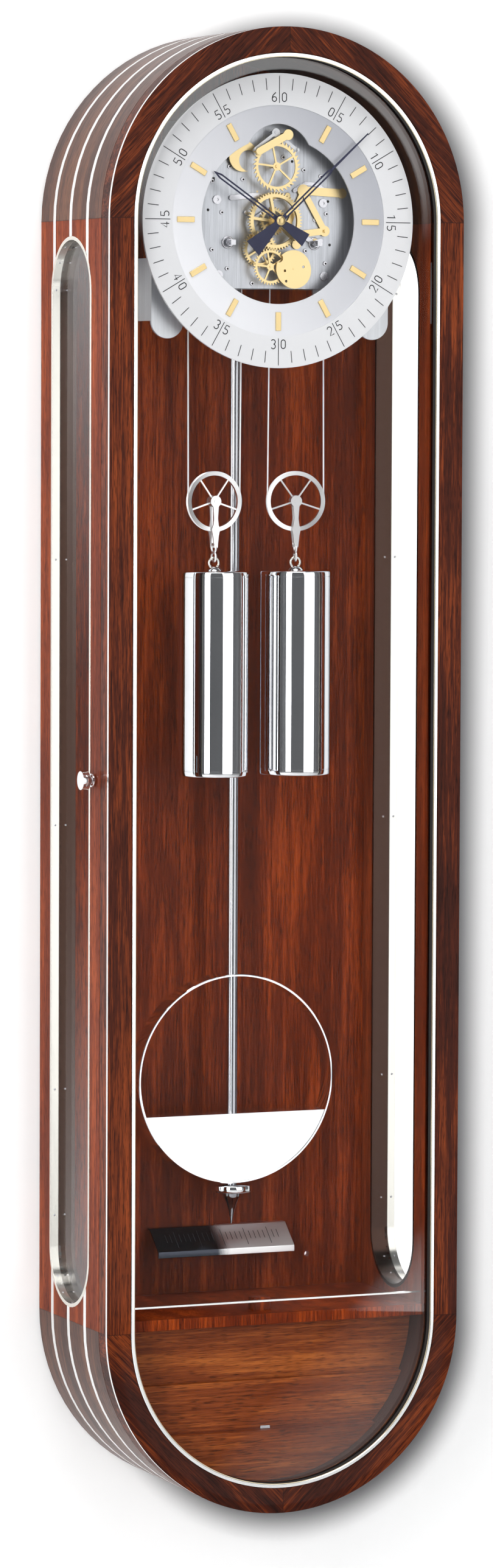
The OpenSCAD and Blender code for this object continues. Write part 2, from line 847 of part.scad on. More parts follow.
// barrel with its arbor, its ratchet wheel and the turns of cable on it
module barrel(s) {
    c = [s * barrel_x, barrel_z];
    color(gold) {
        spindle(c, drum_rear, drum_front, drum_r);
        spindle(c, drum_rear + 1, drum_rear, drum_r + 2.5);
        spindle(c, drum_front, drum_front - 1.2, drum_r + 2.5);
        spindle(c, mv_rear + mv_plate, drum_rear, pivot_r);
        spindle(c, drum_front, square_y, arbor_r + 1);
        stand_at(c, square_y) translate([-arbor_r, -arbor_r, 0])
            cube([2 * arbor_r, 2 * arbor_r, square_len]);
        for (i = [1 : 8]) stand_at(c, cable_y - i * (cable_d + 0.3))
            rotate_extrude() translate([drum_r + cable_d / 2 - 0.1, 0]) circle(cable_d / 2, $fn = 24);
    }
}

module barrel_left() {
    barrel(-1);
}

module barrel_right() {
    barrel(1);
}

module great_wheel_left() {
    color(gold) stand_at(left_c, great_l_y)
        wheel(great_n, great_m, ph_great_l, 2.2, 5, 9, 5, pivot_r + run_gap);
}

module great_wheel_right() {
    color(gold) stand_at(right_c, great_r_y)
        wheel(great_n, great_m, 0, 2.2, 5, 9, 5, pivot_r + run_gap);
}

module center_wheel() {
    color(gold) {
        stand_at(center_c, wheel_y) wheel(mid_n, train_m, ph_center, 2, 3, 5, 5, 0);
        stand_at(center_c, great_l_y + 0.1) pinion(leaf_n, great_m, ph_center_leaf, 2.6);
        spindle(center_c, mv_rear + mv_plate, mv_front, pivot_r);
        spindle(center_c, mv_front + tiny, minute_y + 0.6, center_r);
    }
}

module third_wheel() {
    color(gold) {
        stand_at(third_c, third_y) wheel(third_n, train_m, ph_third, 1.6, 2.6, 4, 5, 0);
        stand_at(third_c, wheel_y + 0.5) pinion(small_n, train_m, ph_third_leaf, 3);
        spindle(third_c, mv_rear + mv_plate, mv_front, thin_r);
    }
}

// wheel with pointed teeth, seen above the hands
module escape_wheel() {
    color(gold) {
        stand_at(escape_c, escape_y) difference() {
            linear_extrude(thin_t) polygon([for (i = [0 : escape_n - 1]) each [
                (escape_r - 2.6) * [cos(i * 10), sin(i * 10)],
                escape_r * [cos(i * 10 + 5.5), sin(i * 10 + 5.5)],
                escape_r * [cos(i * 10 + 7), sin(i * 10 + 7)],
                (escape_r - 2.6) * [cos(i * 10 + 6.8), sin(i * 10 + 6.8)]]]);
            windows(4, escape_r - 5, 5, 1.7, thin_t);
        }
        stand_at(escape_c, third_y + 0.5) pinion(small_n, train_m, ph_escape_leaf, 2.6);
        spindle(escape_c, mv_rear + mv_plate, third_y + 2, thin_r);
        spindle(escape_c, third_y + 2, escape_y - 2.8, pivot_r);
    }
}

module pin_wheel() {
    color(gold) {
        stand_at(pin_c, pin_wheel_y) wheel(third_n, train_m, 0, 1.6, 3.4, 4, 5, 0);
        stand_at(pin_c, great_r_y + 0.1) pinion(leaf_n, great_m, ph_pin_leaf, 2.6);
        for (i = [0 : 7]) spindle(pin_c + pin_ring_r * [cos(45 * i), sin(45 * i)], pin_back,
            pin_wheel_y - 0.1, 1);
        spindle(pin_c, mv_rear + mv_plate, mv_front, thin_r);
    }
}

module strike_hammer() {
    color(gold) {
        spindle(hammer_c, -46, pin_wheel_y, pivot_r);
        stand_at(hammer_c, pin_back) rotate([0, 0, heading(hammer_c, pin_c)]) translate([0, -1.5, 0])
            cube([10, 3, tail_t]);
        stand_at(hammer_c, -50) {
            cylinder(h = 4, r = 4);
            translate([-1.5, 0, 0]) cube([3, 60, 3]);
        }
        translate([76.6, -51.5, bell_c[1]]) rotate([0, 90, 0]) cylinder(h = 12, r = 5);
    }
}

module pallet_anchor() {
    color(steel) {
        stand_at(anchor_pivot, anchor_y) {
            linear_extrude(1.2) {
                link([0, 0], [-pallet_x, -pallet_drop], 4, 3);
                link([0, 0], [pallet_x, -pallet_drop], 4.2, 3.2);
            }
            for (s = [-1, 1]) translate([s * pallet_x - 1, -pallet_drop - 1, 0]) cube([2, 3, 3.4]);
        }
        spindle(anchor_pivot, crutch_y, anchor_y - 1.8, pivot_r);
        stand_at(anchor_pivot, crutch_y) {
            translate([-3, -crutch_len, 0]) cube([6, crutch_len, 1.6]);
            cylinder(h = 4, r = 4);
        }
        for (s = [-1, 1]) translate([s * (rod_d / 2 + 0.3) + (s < 0 ? -2 : 0), crutch_y - 1.6,
            pivot_z - crutch_len - 2]) cube([2, 20, 8]);
        translate([-rod_d / 2 - 2.3, crutch_y - 1.6, pivot_z - crutch_len - 2])
            cube([rod_d + 4.6, 1.6, 8]);
    }
}

module suspension_spring() {
    color(steel) {
        translate([-0.25, rod_y - 5, pivot_z - 30]) cube([0.5, 10, 37]);
        translate([-4, rod_y - 6, pivot_z - 38]) cube([8, 12, 10]);
    }
}

module pendulum_rod() {
    color(steel) {
        translate([0, rod_y, nut_z - 1]) cylinder(h = pivot_z - 38 - nut_z + 1, r = rod_d / 2);
        translate([0, rod_y, nut_z - thread_len]) cylinder(h = thread_len, r = thread_r, $fn = 48);
    }
}

module bob_ring() {
    color(chrome_c) difference() {
        stand_at([0, bob_z], rod_y + bob_t / 2) linear_extrude(bob_t) difference() {
            circle(bob_r);
            circle(bob_r - bob_band);
        }
        translate([0, rod_y, bob_z - bob_r - 5]) cylinder(h = 2 * bob_r + 10, r = rod_d / 2);
    }
}

module bob_disc() {
    color(chrome_c) difference() {
        stand_at([0, bob_z], rod_y + bob_t / 2 - 1) linear_extrude(bob_t - 2) intersection() {
            circle(bob_r - bob_band);
            translate([-bob_r, -bob_r]) square([2 * bob_r, bob_r - chord_drop]);
        }
        translate([0, rod_y, bob_z - bob_r - 5]) cylinder(h = bob_r, r = rod_d / 2);
    }
}

module rating_nut() {
    color(chrome_c) translate([0, rod_y, 0]) difference() {
        union() {
            translate([0, 0, nut_z - 8.2]) cylinder(h = 7, r = 20, $fn = 90);
            translate([0, 0, nut_z - 12]) cylinder(h = 4, r = 9);
            translate([0, 0, nut_z - 39]) rotate_extrude()
                polygon([[0, -2], [0.8, -2], [2, 6], [3.6, 14], [6, 21], [9, 27.1], [0, 27.1]]);
        }
        translate([0, 0, nut_z - thread_len - 0.2]) cylinder(h = thread_len + 1, r = thread_r, $fn = 48);
    }
}

module weight(s) {
    color(chrome_c) {
        translate([s * weight_x, cable_y, weight_top - weight_h]) {
            translate([0, 0, 6]) cylinder(h = weight_h - 12, r = weight_r);
            cylinder(h = 5.6, r = weight_r);
            translate([0, 0, 5]) cylinder(h = weight_h - 10, r = weight_r - 0.4);
            translate([0, 0, weight_h - 5.6]) cylinder(h = 5.6, r = weight_r);
            translate([0, 0, weight_h - 1]) cylinder(h = 4, r = 7);
            translate([0, 0, weight_h + 3 + 5]) rotate([90, 0, 0]) rotate_extrude() translate([5, 0])
                circle(1.3, $fn = 24);
        }
    }
}

module weight_left() {
    weight(-1);
}

module weight_right() {
    weight(1);
}

// outline of a cheek strap: round head, waist, belly and a narrow foot
module strap_outline() {
    circle(strap_head, $fn = 48);
    polygon([[-3.4, 0], [-2.6, -9], [-2.1, -17], [-2.9, -23], [-4.3, -28], [-3.1, -33], [-2.2, -41],
        [-2, -45], [2, -45], [2.2, -41], [3.1, -33], [4.3, -28], [2.9, -23], [2.1, -17], [2.6, -9],
        [3.4, 0]]);
}

// cheek straps, axle and hook that hang the weight from the pulley
module stirrup(s, yaw) {
    color(steel) translate([s * weight_x, cable_y, pulley_z]) rotate([0, 0, yaw]) {
        for (y = [-4.6, 3.2]) translate([0, y + 1.4, 0]) rotate([90, 0, 0]) linear_extrude(1.4)
            strap_outline();
        spindle([0, 0], 5.4, -5.4, 2);
        spindle([0, -42], 5.4, -5.4, 1.6);
        translate([0, 0, -45.6]) rotate([0, 90, 0]) rotate_extrude() translate([4.3, 0])
            circle(1.1, $fn = 24);
        translate([0, 0, -54.2]) rotate([0, 90, 0]) rotate_extrude() translate([4.3, 0])
            circle(1.1, $fn = 24);
    }
}

module stirrup_left() {
    stirrup(-1, yaw_left);
}

module stirrup_right() {
    stirrup(1, yaw_right);
}

module pulley(s, yaw, turn) {
    color(nickel) translate([s * weight_x, cable_y, pulley_z]) rotate([0, 0, yaw]) rotate([90, 0, 0])
        difference() {
        union() {
            rotate_extrude() polygon([[pulley_pitch - rim_w, -1.6], [pulley_out, -pulley_t / 2],
                [pulley_out, -1.9],
                [pulley_pitch - cable_d / 2 - 0.05, -0.75], [pulley_pitch - cable_d / 2 - 0.05, 0.75],
                [pulley_out, 1.9], [pulley_out, pulley_t / 2], [pulley_pitch - rim_w, 1.6]]);
            for (i = [0 : 4]) rotate([0, 0, turn + 72 * i]) translate([0, -spoke_w / 2, -0.9])
                cube([pulley_pitch - 2.2, spoke_w, 1.8]);
            translate([0, 0, -2.6]) cylinder(h = 5.2, r = 5.5);
        }
        translate([0, 0, -5]) cylinder(h = 10, r = 2 + run_gap, $fn = 48);
    }
}

module pulley_left() {
    pulley(-1, yaw_left, 54);
}

module pulley_right() {
    pulley(1, yaw_right, -90);
}

// cable from the drum, round the pulley and up to its fixed end
module cable(s, yaw) {
    c = [s * weight_x, cable_y, pulley_z];
    out = c + pulley_pitch * s * [cos(yaw), sin(yaw), 0];
    inn = c - pulley_pitch * s * [cos(yaw), sin(yaw), 0];
    color(steel) {
        rod(out, [s * (barrel_x + drum_r + cable_gap + cable_d / 2), cable_y, barrel_z - 1],
            cable_d / 2);
        rod(inn, [s * anchor_x, cable_y, anchor_z - 2.5], cable_d / 2);
        for (p = [out, inn]) translate(p) sphere(r = cable_d / 2 + 0.02, $fn = 24);
        translate(c) rotate([0, 0, yaw]) rotate([90, 0, 0]) rotate([0, 0, 180])
            rotate_extrude(angle = 180) translate([pulley_pitch, 0]) circle(cable_d / 2, $fn = 24);
    }
}

module cable_left() {
    cable(-1, yaw_left);
}

module cable_right() {
    cable(1, yaw_right);
}

case_shell();
back_panel();
hanger_plate();
shelf();
lower_panel();
panel_catches();
window_trims();
window_glasses();
white_inlays();
beat_scale();
case_hinge_leaves();
movement_brackets();
front_plate();
back_plate();
pillars();
front_cocks();
back_cock();
bell();
dial_plate();
dial_ring();
hour_batons();
door_frame();
door_bezel();
door_strip();
door_glass();
glass_retainer();
door_hinge_leaves();
latch_knob();
pendulum_rod();
bob_ring();
bob_disc();
rating_nut();
suspension_spring();
pallet_anchor();
weight_left();
weight_right();
stirrup_left();
stirrup_right();
pulley_left();
pulley_right();
cable_left();
cable_right();
barrel_left();
barrel_right();
great_wheel_left();
great_wheel_right();
center_wheel();
third_wheel();
escape_wheel();
pin_wheel();
strike_hammer();
minute_hand();
hand_nut();
cannon_wheel();
minute_wheel();
hour_hand();
hour_wheel();
lower_wheel();
cam_disc();
strike_rack();
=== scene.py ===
# %% [markdown]
# # A wall clock, dressed in Blender
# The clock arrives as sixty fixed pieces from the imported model. They have the right
# size and place, and this lesson gives them their looks: lacquered mahogany, nickel,
# chrome, gold-plated brass, a silvered dial and blued hands. Where a plain piece is
# too plain, a finer one takes its place and rides on the same body.

# %% Load the fixed frame
import json
import math

import bmesh
import bpy
from mathutils import Matrix, Vector

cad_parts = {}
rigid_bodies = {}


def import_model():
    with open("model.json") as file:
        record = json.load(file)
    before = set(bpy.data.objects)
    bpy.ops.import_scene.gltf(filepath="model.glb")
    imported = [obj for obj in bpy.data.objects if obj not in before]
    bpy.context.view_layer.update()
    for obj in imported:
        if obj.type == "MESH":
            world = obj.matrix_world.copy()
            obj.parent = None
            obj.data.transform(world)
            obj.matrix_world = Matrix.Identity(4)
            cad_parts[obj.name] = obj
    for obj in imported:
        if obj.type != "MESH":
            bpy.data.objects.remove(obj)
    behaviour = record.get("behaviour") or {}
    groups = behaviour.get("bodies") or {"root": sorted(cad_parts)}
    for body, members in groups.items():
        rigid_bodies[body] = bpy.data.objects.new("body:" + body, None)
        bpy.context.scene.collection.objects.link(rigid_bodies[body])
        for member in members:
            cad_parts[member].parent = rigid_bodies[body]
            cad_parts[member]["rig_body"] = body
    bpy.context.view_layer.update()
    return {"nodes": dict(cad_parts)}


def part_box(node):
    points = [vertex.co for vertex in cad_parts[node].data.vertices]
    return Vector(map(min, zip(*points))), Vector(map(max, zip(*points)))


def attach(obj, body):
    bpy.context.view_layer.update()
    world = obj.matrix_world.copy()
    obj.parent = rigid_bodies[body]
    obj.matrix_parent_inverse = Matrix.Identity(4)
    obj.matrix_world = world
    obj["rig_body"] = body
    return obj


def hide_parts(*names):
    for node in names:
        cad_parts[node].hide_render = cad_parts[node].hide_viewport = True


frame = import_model()
nodes = frame["nodes"]
MM = 0.001
print("pieces in the frame:", len(nodes))

# %% [markdown]
# ## Sizes shared by many pieces
# The case is two half circles joined by straight sides. Its centres and radii come
# from the boxes of the fixed pieces, so nothing is measured twice. A helper that
# gives points along this outline serves the frame, the bezel and every trim line.

# %% The outline of the case
low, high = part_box("case_shell")
case_r = high.x
z_dial = high.z - case_r
z_low = low.z + case_r
inner_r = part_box("door_glass")[1].x
y_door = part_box("door_frame")[0].y
y_door_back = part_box("door_frame")[1].y
dial_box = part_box("dial_plate")
dial_r = dial_box[1].x
print("case radius", round(case_r, 4), "arc centres", round(z_dial, 4), round(z_low, 4))


def outline(steps=64):
    """Unit directions and centres once round the case: right side, top, left side, bottom."""
    points = []
    for i in range(steps + 1):
        a = math.pi * i / steps
        points.append((math.cos(a), math.sin(a), z_dial))
    for i in range(steps + 1):
        a = math.pi + math.pi * i / steps
        points.append((math.cos(a), math.sin(a), z_low))
    return points


# %% [markdown]
# ## Making meshes
# Most parts of a clock are turned on a lathe, cut from plate or bent round a form.
# So three makers are enough: a lathe, a plate with a bevelled edge and a sweep round
# the case. Modifiers could do the same, but plain mesh code keeps every edge exact.

# %% Put a mesh into the scene
def piece(name, verts, faces, body, material=None, smooth=True, angle=35):
    mesh = bpy.data.meshes.new(name)
    mesh.from_pydata([tuple(v) for v in verts], [], faces)
    mesh.validate()
    obj = bpy.data.objects.new(name, mesh)
    bpy.context.scene.collection.objects.link(obj)
    tidy(obj, smooth, angle)
    if material is not None:
        obj.data.materials.append(material)
    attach(obj, body)
    return obj


def tidy(obj, smooth=True, angle=35):
    bm = bmesh.new()
    bm.from_mesh(obj.data)
    bmesh.ops.remove_doubles(bm, verts=bm.verts, dist=1e-7)
    bmesh.ops.recalc_face_normals(bm, faces=bm.faces)
    for f in bm.faces:
        f.smooth = smooth
    limit = math.radians(angle)
    for e in bm.edges:
        if len(e.link_faces) == 2 and e.calc_face_angle(0.0) > limit:
            e.smooth = False
    bm.to_mesh(obj.data)
    bm.free()


# %% The lathe
def lathe(name, profile, centre, axis, body, material, steps=96, angle=35):
    """profile is a list of (radius, height) pairs; axis is the way that height grows."""
    up = Vector(axis).normalized()
    side = up.orthogonal().normalized()
    fore = up.cross(side)
    verts, faces, n = [], [], len(profile)
    for i in range(steps):
        a = 2 * math.pi * i / steps
        d = side * math.cos(a) + fore * math.sin(a)
        for r, h in profile:
            verts.append(Vector(centre) + d * r + up * h)
    for i in range(steps):
        j = (i + 1) % steps
        for k in range(n - 1):
            faces.append((i * n + k, i * n + k + 1, j * n + k + 1, j * n + k))
    return piece(name, verts, faces, body, material, angle=angle)


# %% A ring bent from wire
def ring_wire(name, centre, axis, radius, wire, body, material, a0=0, a1=360, steps=40):
    up = Vector(axis).normalized()
    side = up.orthogonal().normalized()
    fore = up.cross(side)
    n = 14
    verts, faces = [], []
    closed = abs(a1 - a0) >= 360
    count = steps if closed else steps + 1
    for i in range(count):
        a = math.radians(a0 + (a1 - a0) * i / steps)
        d = side * math.cos(a) + fore * math.sin(a)
        for k in range(n):
            b = 2 * math.pi * k / n
            verts.append(Vector(centre) + d * (radius + wire * math.cos(b)) + up * wire * math.sin(b))
    for i in range(count if closed else count - 1):
        j = (i + 1) % count
        for k in range(n):
            l = (k + 1) % n
            faces.append((i * n + k, i * n + l, j * n + l, j * n + k))
    return piece(name, verts, faces, body, material)


# %% The sweep round the case
def sweep(name, profile, body, material, steps=64, angle=30):
    """profile is a closed list of (radius, y) pairs."""
    verts, faces, n = [], [], len(profile)
    ring = outline(steps)
    for dx, dz, zc in ring:
        for r, y in profile:
            verts.append((dx * r, y, zc + dz * r))
    m = len(ring)
    for i in range(m):
        j = (i + 1) % m
        for k in range(n):
            l = (k + 1) % n
            faces.append((i * n + k, i * n + l, j * n + l, j * n + k))
    return piece(name, verts, faces, body, material, angle=angle)


# %% Flat strips and softened copies
def ribbon(name, strokes, width, y, body, material):
    """Thin flat lines that face the viewer; each stroke is a list of (x, z) points."""
    verts, faces = [], []
    for line in strokes:
        pts = [Vector((p[0], p[1])) for p in line]
        rows = []
        for i, p in enumerate(pts):
            a = pts[max(i - 1, 0)]
            b = pts[min(i + 1, len(pts) - 1)]
            t = (b - a).normalized()
            nrm = Vector((-t.y, t.x)) * width / 2
            rows.append(len(verts))
            verts.append((p.x + nrm.x, y, p.y + nrm.y))
            verts.append((p.x - nrm.x, y, p.y - nrm.y))
        for r0, r1 in zip(rows, rows[1:]):
            faces.append((r0, r0 + 1, r1 + 1, r1))
    return piece(name, verts, faces, body, material, smooth=False)


def softened(node, width, material, segments=2, angle=32):
    """A copy of a fixed piece with small bevels, which takes its place."""
    src = nodes[node]
    obj = bpy.data.objects.new(node + "_fine", src.data.copy())
    bpy.context.scene.collection.objects.link(obj)
    bm = bmesh.new()
    bm.from_mesh(obj.data)
    bmesh.ops.remove_doubles(bm, verts=bm.verts, dist=2e-7)
    bmesh.ops.dissolve_limit(bm, angle_limit=math.radians(1.0), verts=bm.verts, edges=bm.edges)
    bm.to_mesh(obj.data)
    bm.free()
    for f in obj.data.polygons:
        f.use_smooth = True
    obj.data.materials.clear()
    obj.data.materials.append(material)
    edge = obj.modifiers.new("edge", "BEVEL")
    edge.width = width
    edge.segments = segments
    edge.limit_method = "ANGLE"
    edge.angle_limit = math.radians(angle)
    edge.use_clamp_overlap = True
    # large flat faces keep their own normal, so only the bevel looks round
    even = obj.modifiers.new("even", "WEIGHTED_NORMAL")
    even.weight = 100
    even.keep_sharp = True
    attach(obj, src["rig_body"])
    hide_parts(node)
    return obj


# %% [markdown]
# ## Writing shader maths as plain expressions
# A finish is a small sum: a tint plus some grain, less some wear. Blender writes such
# a sum as a row of Math nodes, which is slow to read. A class that wraps one socket
# and answers to +, -, * and / lets the sum stay a sum, and adds the nodes behind it.

# %% A socket that can be added and multiplied
class Field:
    def __init__(self, finish, socket):
        self.finish = finish
        self.socket = socket

    def _math(self, operation, first, second=0.0):
        node = self.finish.add("ShaderNodeMath", {"operation": operation}, {0: first, 1: second})
        return Field(self.finish, node.outputs[0])

    def __add__(self, other):
        return self._math("ADD", self, other)

    __radd__ = __add__

    def __sub__(self, other):
        return self._math("SUBTRACT", self, other)

    def __rsub__(self, other):
        return self._math("SUBTRACT", other, self)

    def __mul__(self, other):
        return self._math("MULTIPLY", self, other)

    __rmul__ = __mul__

    def __lt__(self, other):
        return self._math("LESS_THAN", self, other)

    def __gt__(self, other):
        return self._math("GREATER_THAN", self, other)

    def __abs__(self):
        return self._math("ABSOLUTE", self)

    def sin(self):
        return self._math("SINE", self)

    def root(self):
        return self._math("SQRT", self)

    def least(self, other):
        return self._math("MINIMUM", self, other)

    def most(self, other):
        return self._math("MAXIMUM", self, other)

    def spread(self, lo, hi, to_lo=0.0, to_hi=1.0):
        """Maps lo..hi to to_lo..to_hi and stops at the ends."""
        node = self.finish.add("ShaderNodeMapRange", {"clamp": True},
                               {0: self, 1: lo, 2: hi, 3: to_lo, 4: to_hi})
        return Field(self.finish, node.outputs[0])


# %% A finish: one material and the nodes behind it
class Finish:
    def __init__(self, name, **constants):
        self.material = bpy.data.materials.new(name)
        self.material.use_nodes = True
        self.tree = self.material.node_tree
        self.shader = self.tree.nodes["Principled BSDF"]
        self.ending = self.tree.nodes["Material Output"]
        for key, value in constants.items():
            self.shader.inputs[key.replace("_", " ")].default_value = value

    def add(self, kind, settings=None, sockets=None):
        """Any node: its type, its settings, then the values or links of its sockets."""
        node = self.tree.nodes.new(kind)
        for key, value in (settings or {}).items():
            if key == "stops":
                ramp = node.color_ramp
                while len(ramp.elements) < len(value):
                    ramp.elements.new(0.5)
                for element, (place, colour) in zip(ramp.elements, value):
                    element.position = place
                    element.color = colour
            else:
                setattr(node, key, value)
        for key, value in (sockets or {}).items():
            self.join(value, node.inputs[key])
        return node

    def join(self, value, socket):
        if isinstance(value, Field):
            value = value.socket
        if isinstance(value, bpy.types.NodeSocket):
            self.tree.links.new(value, socket)
        else:
            socket.default_value = value

    def field(self, kind, settings=None, sockets=None, out=0):
        return Field(self, self.add(kind, settings, sockets).outputs[out])

    def place(self):
        """x, y and z of the point on the piece, in metres."""
        spot = self.add("ShaderNodeTexCoord").outputs["Object"]
        parts = self.add("ShaderNodeSeparateXYZ", None, {0: spot})
        return [Field(self, parts.outputs[i]) for i in range(3)]

    def vector(self, x, y, z):
        return self.add("ShaderNodeCombineXYZ", None, {0: x, 1: y, 2: z}).outputs[0]

    def noise(self, where, scale, detail=3.0, rough=0.55, distortion=0.0):
        return self.field("ShaderNodeTexNoise", {"noise_dimensions": "3D"},
                          {"Vector": where, "Scale": scale, "Detail": detail,
                           "Roughness": rough, "Distortion": distortion})

    def colour(self, mask, first, second, mode="MIX"):
        """Mixes two colours; the mask is 0 for the first and 1 for the second."""
        node = self.add("ShaderNodeMix", {"data_type": "RGBA", "blend_type": mode},
                        {0: mask, 6: first, 7: second})
        return node.outputs[2]

    def feed(self, **targets):
        for key, value in targets.items():
            self.join(value, self.shader.inputs[key.replace("_", " ")])

    def bump(self, height, strength=0.2, distance=0.0005):
        node = self.add("ShaderNodeBump", None,
                        {"Strength": strength, "Distance": distance, "Height": height})
        self.feed(Normal=node.outputs[0])


def rgb(r, g, b):
    return (r, g, b, 1.0)


# %% [markdown]
# ## Lacquered mahogany
# Mahogany has a ribbon figure, broad soft bands, with short dark pores along the
# grain. On this case the straight boards run upright, and the round ends are sawn
# from boards at forty-five degrees that meet in a mitre at the middle. A texture
# image could show one board, but only maths can turn the grain at every joint. A
# clear coat on top gives the deep gloss of lacquer.

# %% The grain, the pores and the coat
def mahogany(name, ways, dark, mid, light, ends_painted_reflection=None, coat=0.5, gloss=0.06, ends_coat=None):
    """ways is 'frame', 'side', 'upright' or 'level': how the boards run."""
    f = Finish(name, Coat_Roughness=gloss, Coat_IOR=1.45, Specular_IOR_Level=0.07)
    x, y, z = f.place()
    seam = None
    ends = None
    if ways in ("frame", "side"):
        bottom = z < z_low
        ends = (z > z_dial) + bottom
        rise = (z - z_dial).most(z_low - z)
        if ways == "frame":
            end_along = (abs(x) - rise) * 0.7071
            end_across = (abs(x) + rise) * 0.7071
        else:
            turn = f.field("ShaderNodeMath", {"operation": "ARCTAN2"}, {0: rise, 1: x})
            end_along = turn * case_r
            end_across = y
        plain_across = x if ways == "frame" else y
        along = z * (1 - ends) + end_along * ends
        across = plain_across * (1 - ends) + end_across * ends
        board = ends * 3.1 + bottom * 1.7 + (x > 0.0) * 2.3
        seam = abs(z - z_dial).least(abs(z - z_low))
        if ways == "frame":
            seam = seam.least(abs(x) + (1 - ends))
    elif ways == "upright":
        along, across, board = z, x, y * 0.3
    else:
        along, across, board = x, z, y * 0.3
    depth = y * 0.4
    ribbon = f.noise(f.vector(across, depth, along * 0.03 + board), 62.0, 2.0, 0.5, 0.3)
    fibre = f.noise(f.vector(across, depth, along * 0.035 + board), 460.0, 4.0, 0.7)
    clouds = f.noise(f.vector(across, depth, along * 0.35 + board), 11.0, 2.0)
    flecks = f.noise(f.vector(across, depth, along * 0.16 + board), 240.0, 2.0, 0.6).spread(0.56, 0.72)
    pores = f.noise(f.vector(across, depth, along * 0.07 + board), 1250.0, 1.0).spread(0.54, 0.68)
    tone = (ribbon * 0.34 + fibre * 0.50 + clouds * 0.3).spread(0.42, 0.74)
    base = f.colour(tone, dark, mid)
    base = f.colour((tone * 1.4 - 0.62).spread(0.0, 0.9) * 0.9, base, light)
    base = f.colour(flecks * 0.35, base, dark)
    base = f.colour(pores * 0.65, base, rgb(0.010, 0.003, 0.002))
    # the round ends are multiplied by a cool grey tint: a painted reflection on the arches
    if ends_painted_reflection is not None:
        base = f.colour(ends * 1.0, base, f.colour(ends * 1.0, base, ends_painted_reflection, "MULTIPLY"))
    if seam is not None:
        base = f.colour(seam.spread(0.0002, 0.0007, 0.6, 0.0), base, rgb(0.012, 0.004, 0.002))
    varnish = coat if ends_coat is None else ends * (ends_coat - coat) + coat
    f.feed(Base_Color=base, Roughness=0.46 - tone * 0.1 + pores * 0.1,
           Coat_Weight=varnish - pores * 0.05)
    f.bump(fibre * 0.3 - pores, 0.08, 0.0001)
    return f.material


front_wood = mahogany("front_mahogany", "frame", rgb(0.020, 0.0035, 0.0012),
                      rgb(0.120, 0.0175, 0.0035), rgb(0.32, 0.062, 0.010),
                      rgb(0.80, 0.80, 0.84), coat=0.12)
side_wood = mahogany("side_mahogany", "side", rgb(0.090, 0.012, 0.0020),
                     rgb(0.24, 0.034, 0.0045), rgb(0.42, 0.085, 0.012),
                     rgb(0.36, 0.56, 0.90), coat=0.05, gloss=0.2, ends_coat=0.40)
inner_wood = mahogany("inner_mahogany", "upright", rgb(0.085, 0.0105, 0.0015),
                      rgb(0.27, 0.035, 0.0035), rgb(0.50, 0.085, 0.007), coat=0.03, gloss=0.12)
level_wood = mahogany("level_mahogany", "level", rgb(0.14, 0.026, 0.006),
                      rgb(0.40, 0.090, 0.014), rgb(0.60, 0.18, 0.032), coat=0.2, gloss=0.16)
print("woods:", front_wood.name, side_wood.name, inner_wood.name, level_wood.name)

# %% [markdown]
# ## Plated and brushed metals
# Polished plating is a mirror, so its colour is what stands around it. A faint,
# slow change of roughness keeps it from looking like a drawing. Brushed metal is
# scratched one way only, so its noise is stretched along one axis and read as both
# roughness and relief.

# %% Mirror plating
def plated(name, tint, rough=0.05, wear=0.06, relief=0.03):
    f = Finish(name, Metallic=1.0, Specular_IOR_Level=0.5)
    x, y, z = f.place()
    here = f.vector(x, y, z)
    slow = f.noise(here, 14.0, 2.0)
    quick = f.noise(here, 900.0, 2.0)
    shade = (slow * 0.6 + quick * 0.4).spread(0.35, 0.7)
    darker = tuple(c * 0.9 for c in tint[:3]) + (1.0,)
    f.feed(Base_Color=f.colour(shade, darker, tint),
           Roughness=rough + slow * wear * 0.5 + quick * wear * 0.3)
    f.bump(slow, relief, 0.0004)
    return f.material


chrome = plated("mirror_chrome", rgb(0.88, 0.89, 0.91), 0.02, 0.02, 0.0)
mirror_white = plated("bright_mirror", rgb(0.97, 0.97, 0.97), 0.30, 0.04, 0.0)
bright_chrome = plated("satin_chrome", rgb(0.84, 0.84, 0.85), 0.18, 0.04, 0.0)
nickel = plated("soft_nickel", rgb(0.78, 0.76, 0.70), 0.12, 0.08)
white_metal = plated("white_metal", rgb(0.93, 0.93, 0.92), 0.16, 0.08)
gold = plated("gold_plate", rgb(0.84, 0.66, 0.34), 0.33, 0.12)
lip_gold = plated("bezel_gold", rgb(0.90, 0.80, 0.55), 0.30, 0.08)
gold_bright = plated("gold_bright", rgb(0.74, 0.57, 0.28), 0.30, 0.08)
dark_chrome = plated("dark_chrome", rgb(0.30, 0.30, 0.32), 0.06, 0.05)
rod_metal = plated("rod_steel", rgb(0.52, 0.53, 0.56), 0.18, 0.10)
screw_metal = plated("screw_steel", rgb(0.58, 0.58, 0.61), 0.22, 0.12)


# %% Brushed plate
def brushed(name, tint, along="x", rough=0.28, metallic=1.0, streak=0.10):
    f = Finish(name, Metallic=metallic)
    x, y, z = f.place()
    stretch = {"x": (0.02, 1.0, 1.0), "z": (1.0, 1.0, 0.02)}[along]
    where = f.vector(x * stretch[0], y * stretch[1], z * stretch[2])
    lines = f.noise(where, 2600.0, 4.0, 0.7)
    broad = f.noise(where, 300.0, 3.0, 0.6)
    cloud = f.noise(f.vector(x, y, z), 18.0, 2.0)
    tone = (lines * 0.5 + broad * 0.5).spread(0.3, 0.7)
    dim = tuple(c * (1.0 - 2.2 * streak) for c in tint[:3]) + (1.0,)
    f.feed(Base_Color=f.colour(tone, dim, tint),
           Roughness=rough - 0.08 + lines * 0.16 + cloud * 0.06)
    f.bump(lines, 0.14, 0.0001)
    return f.material


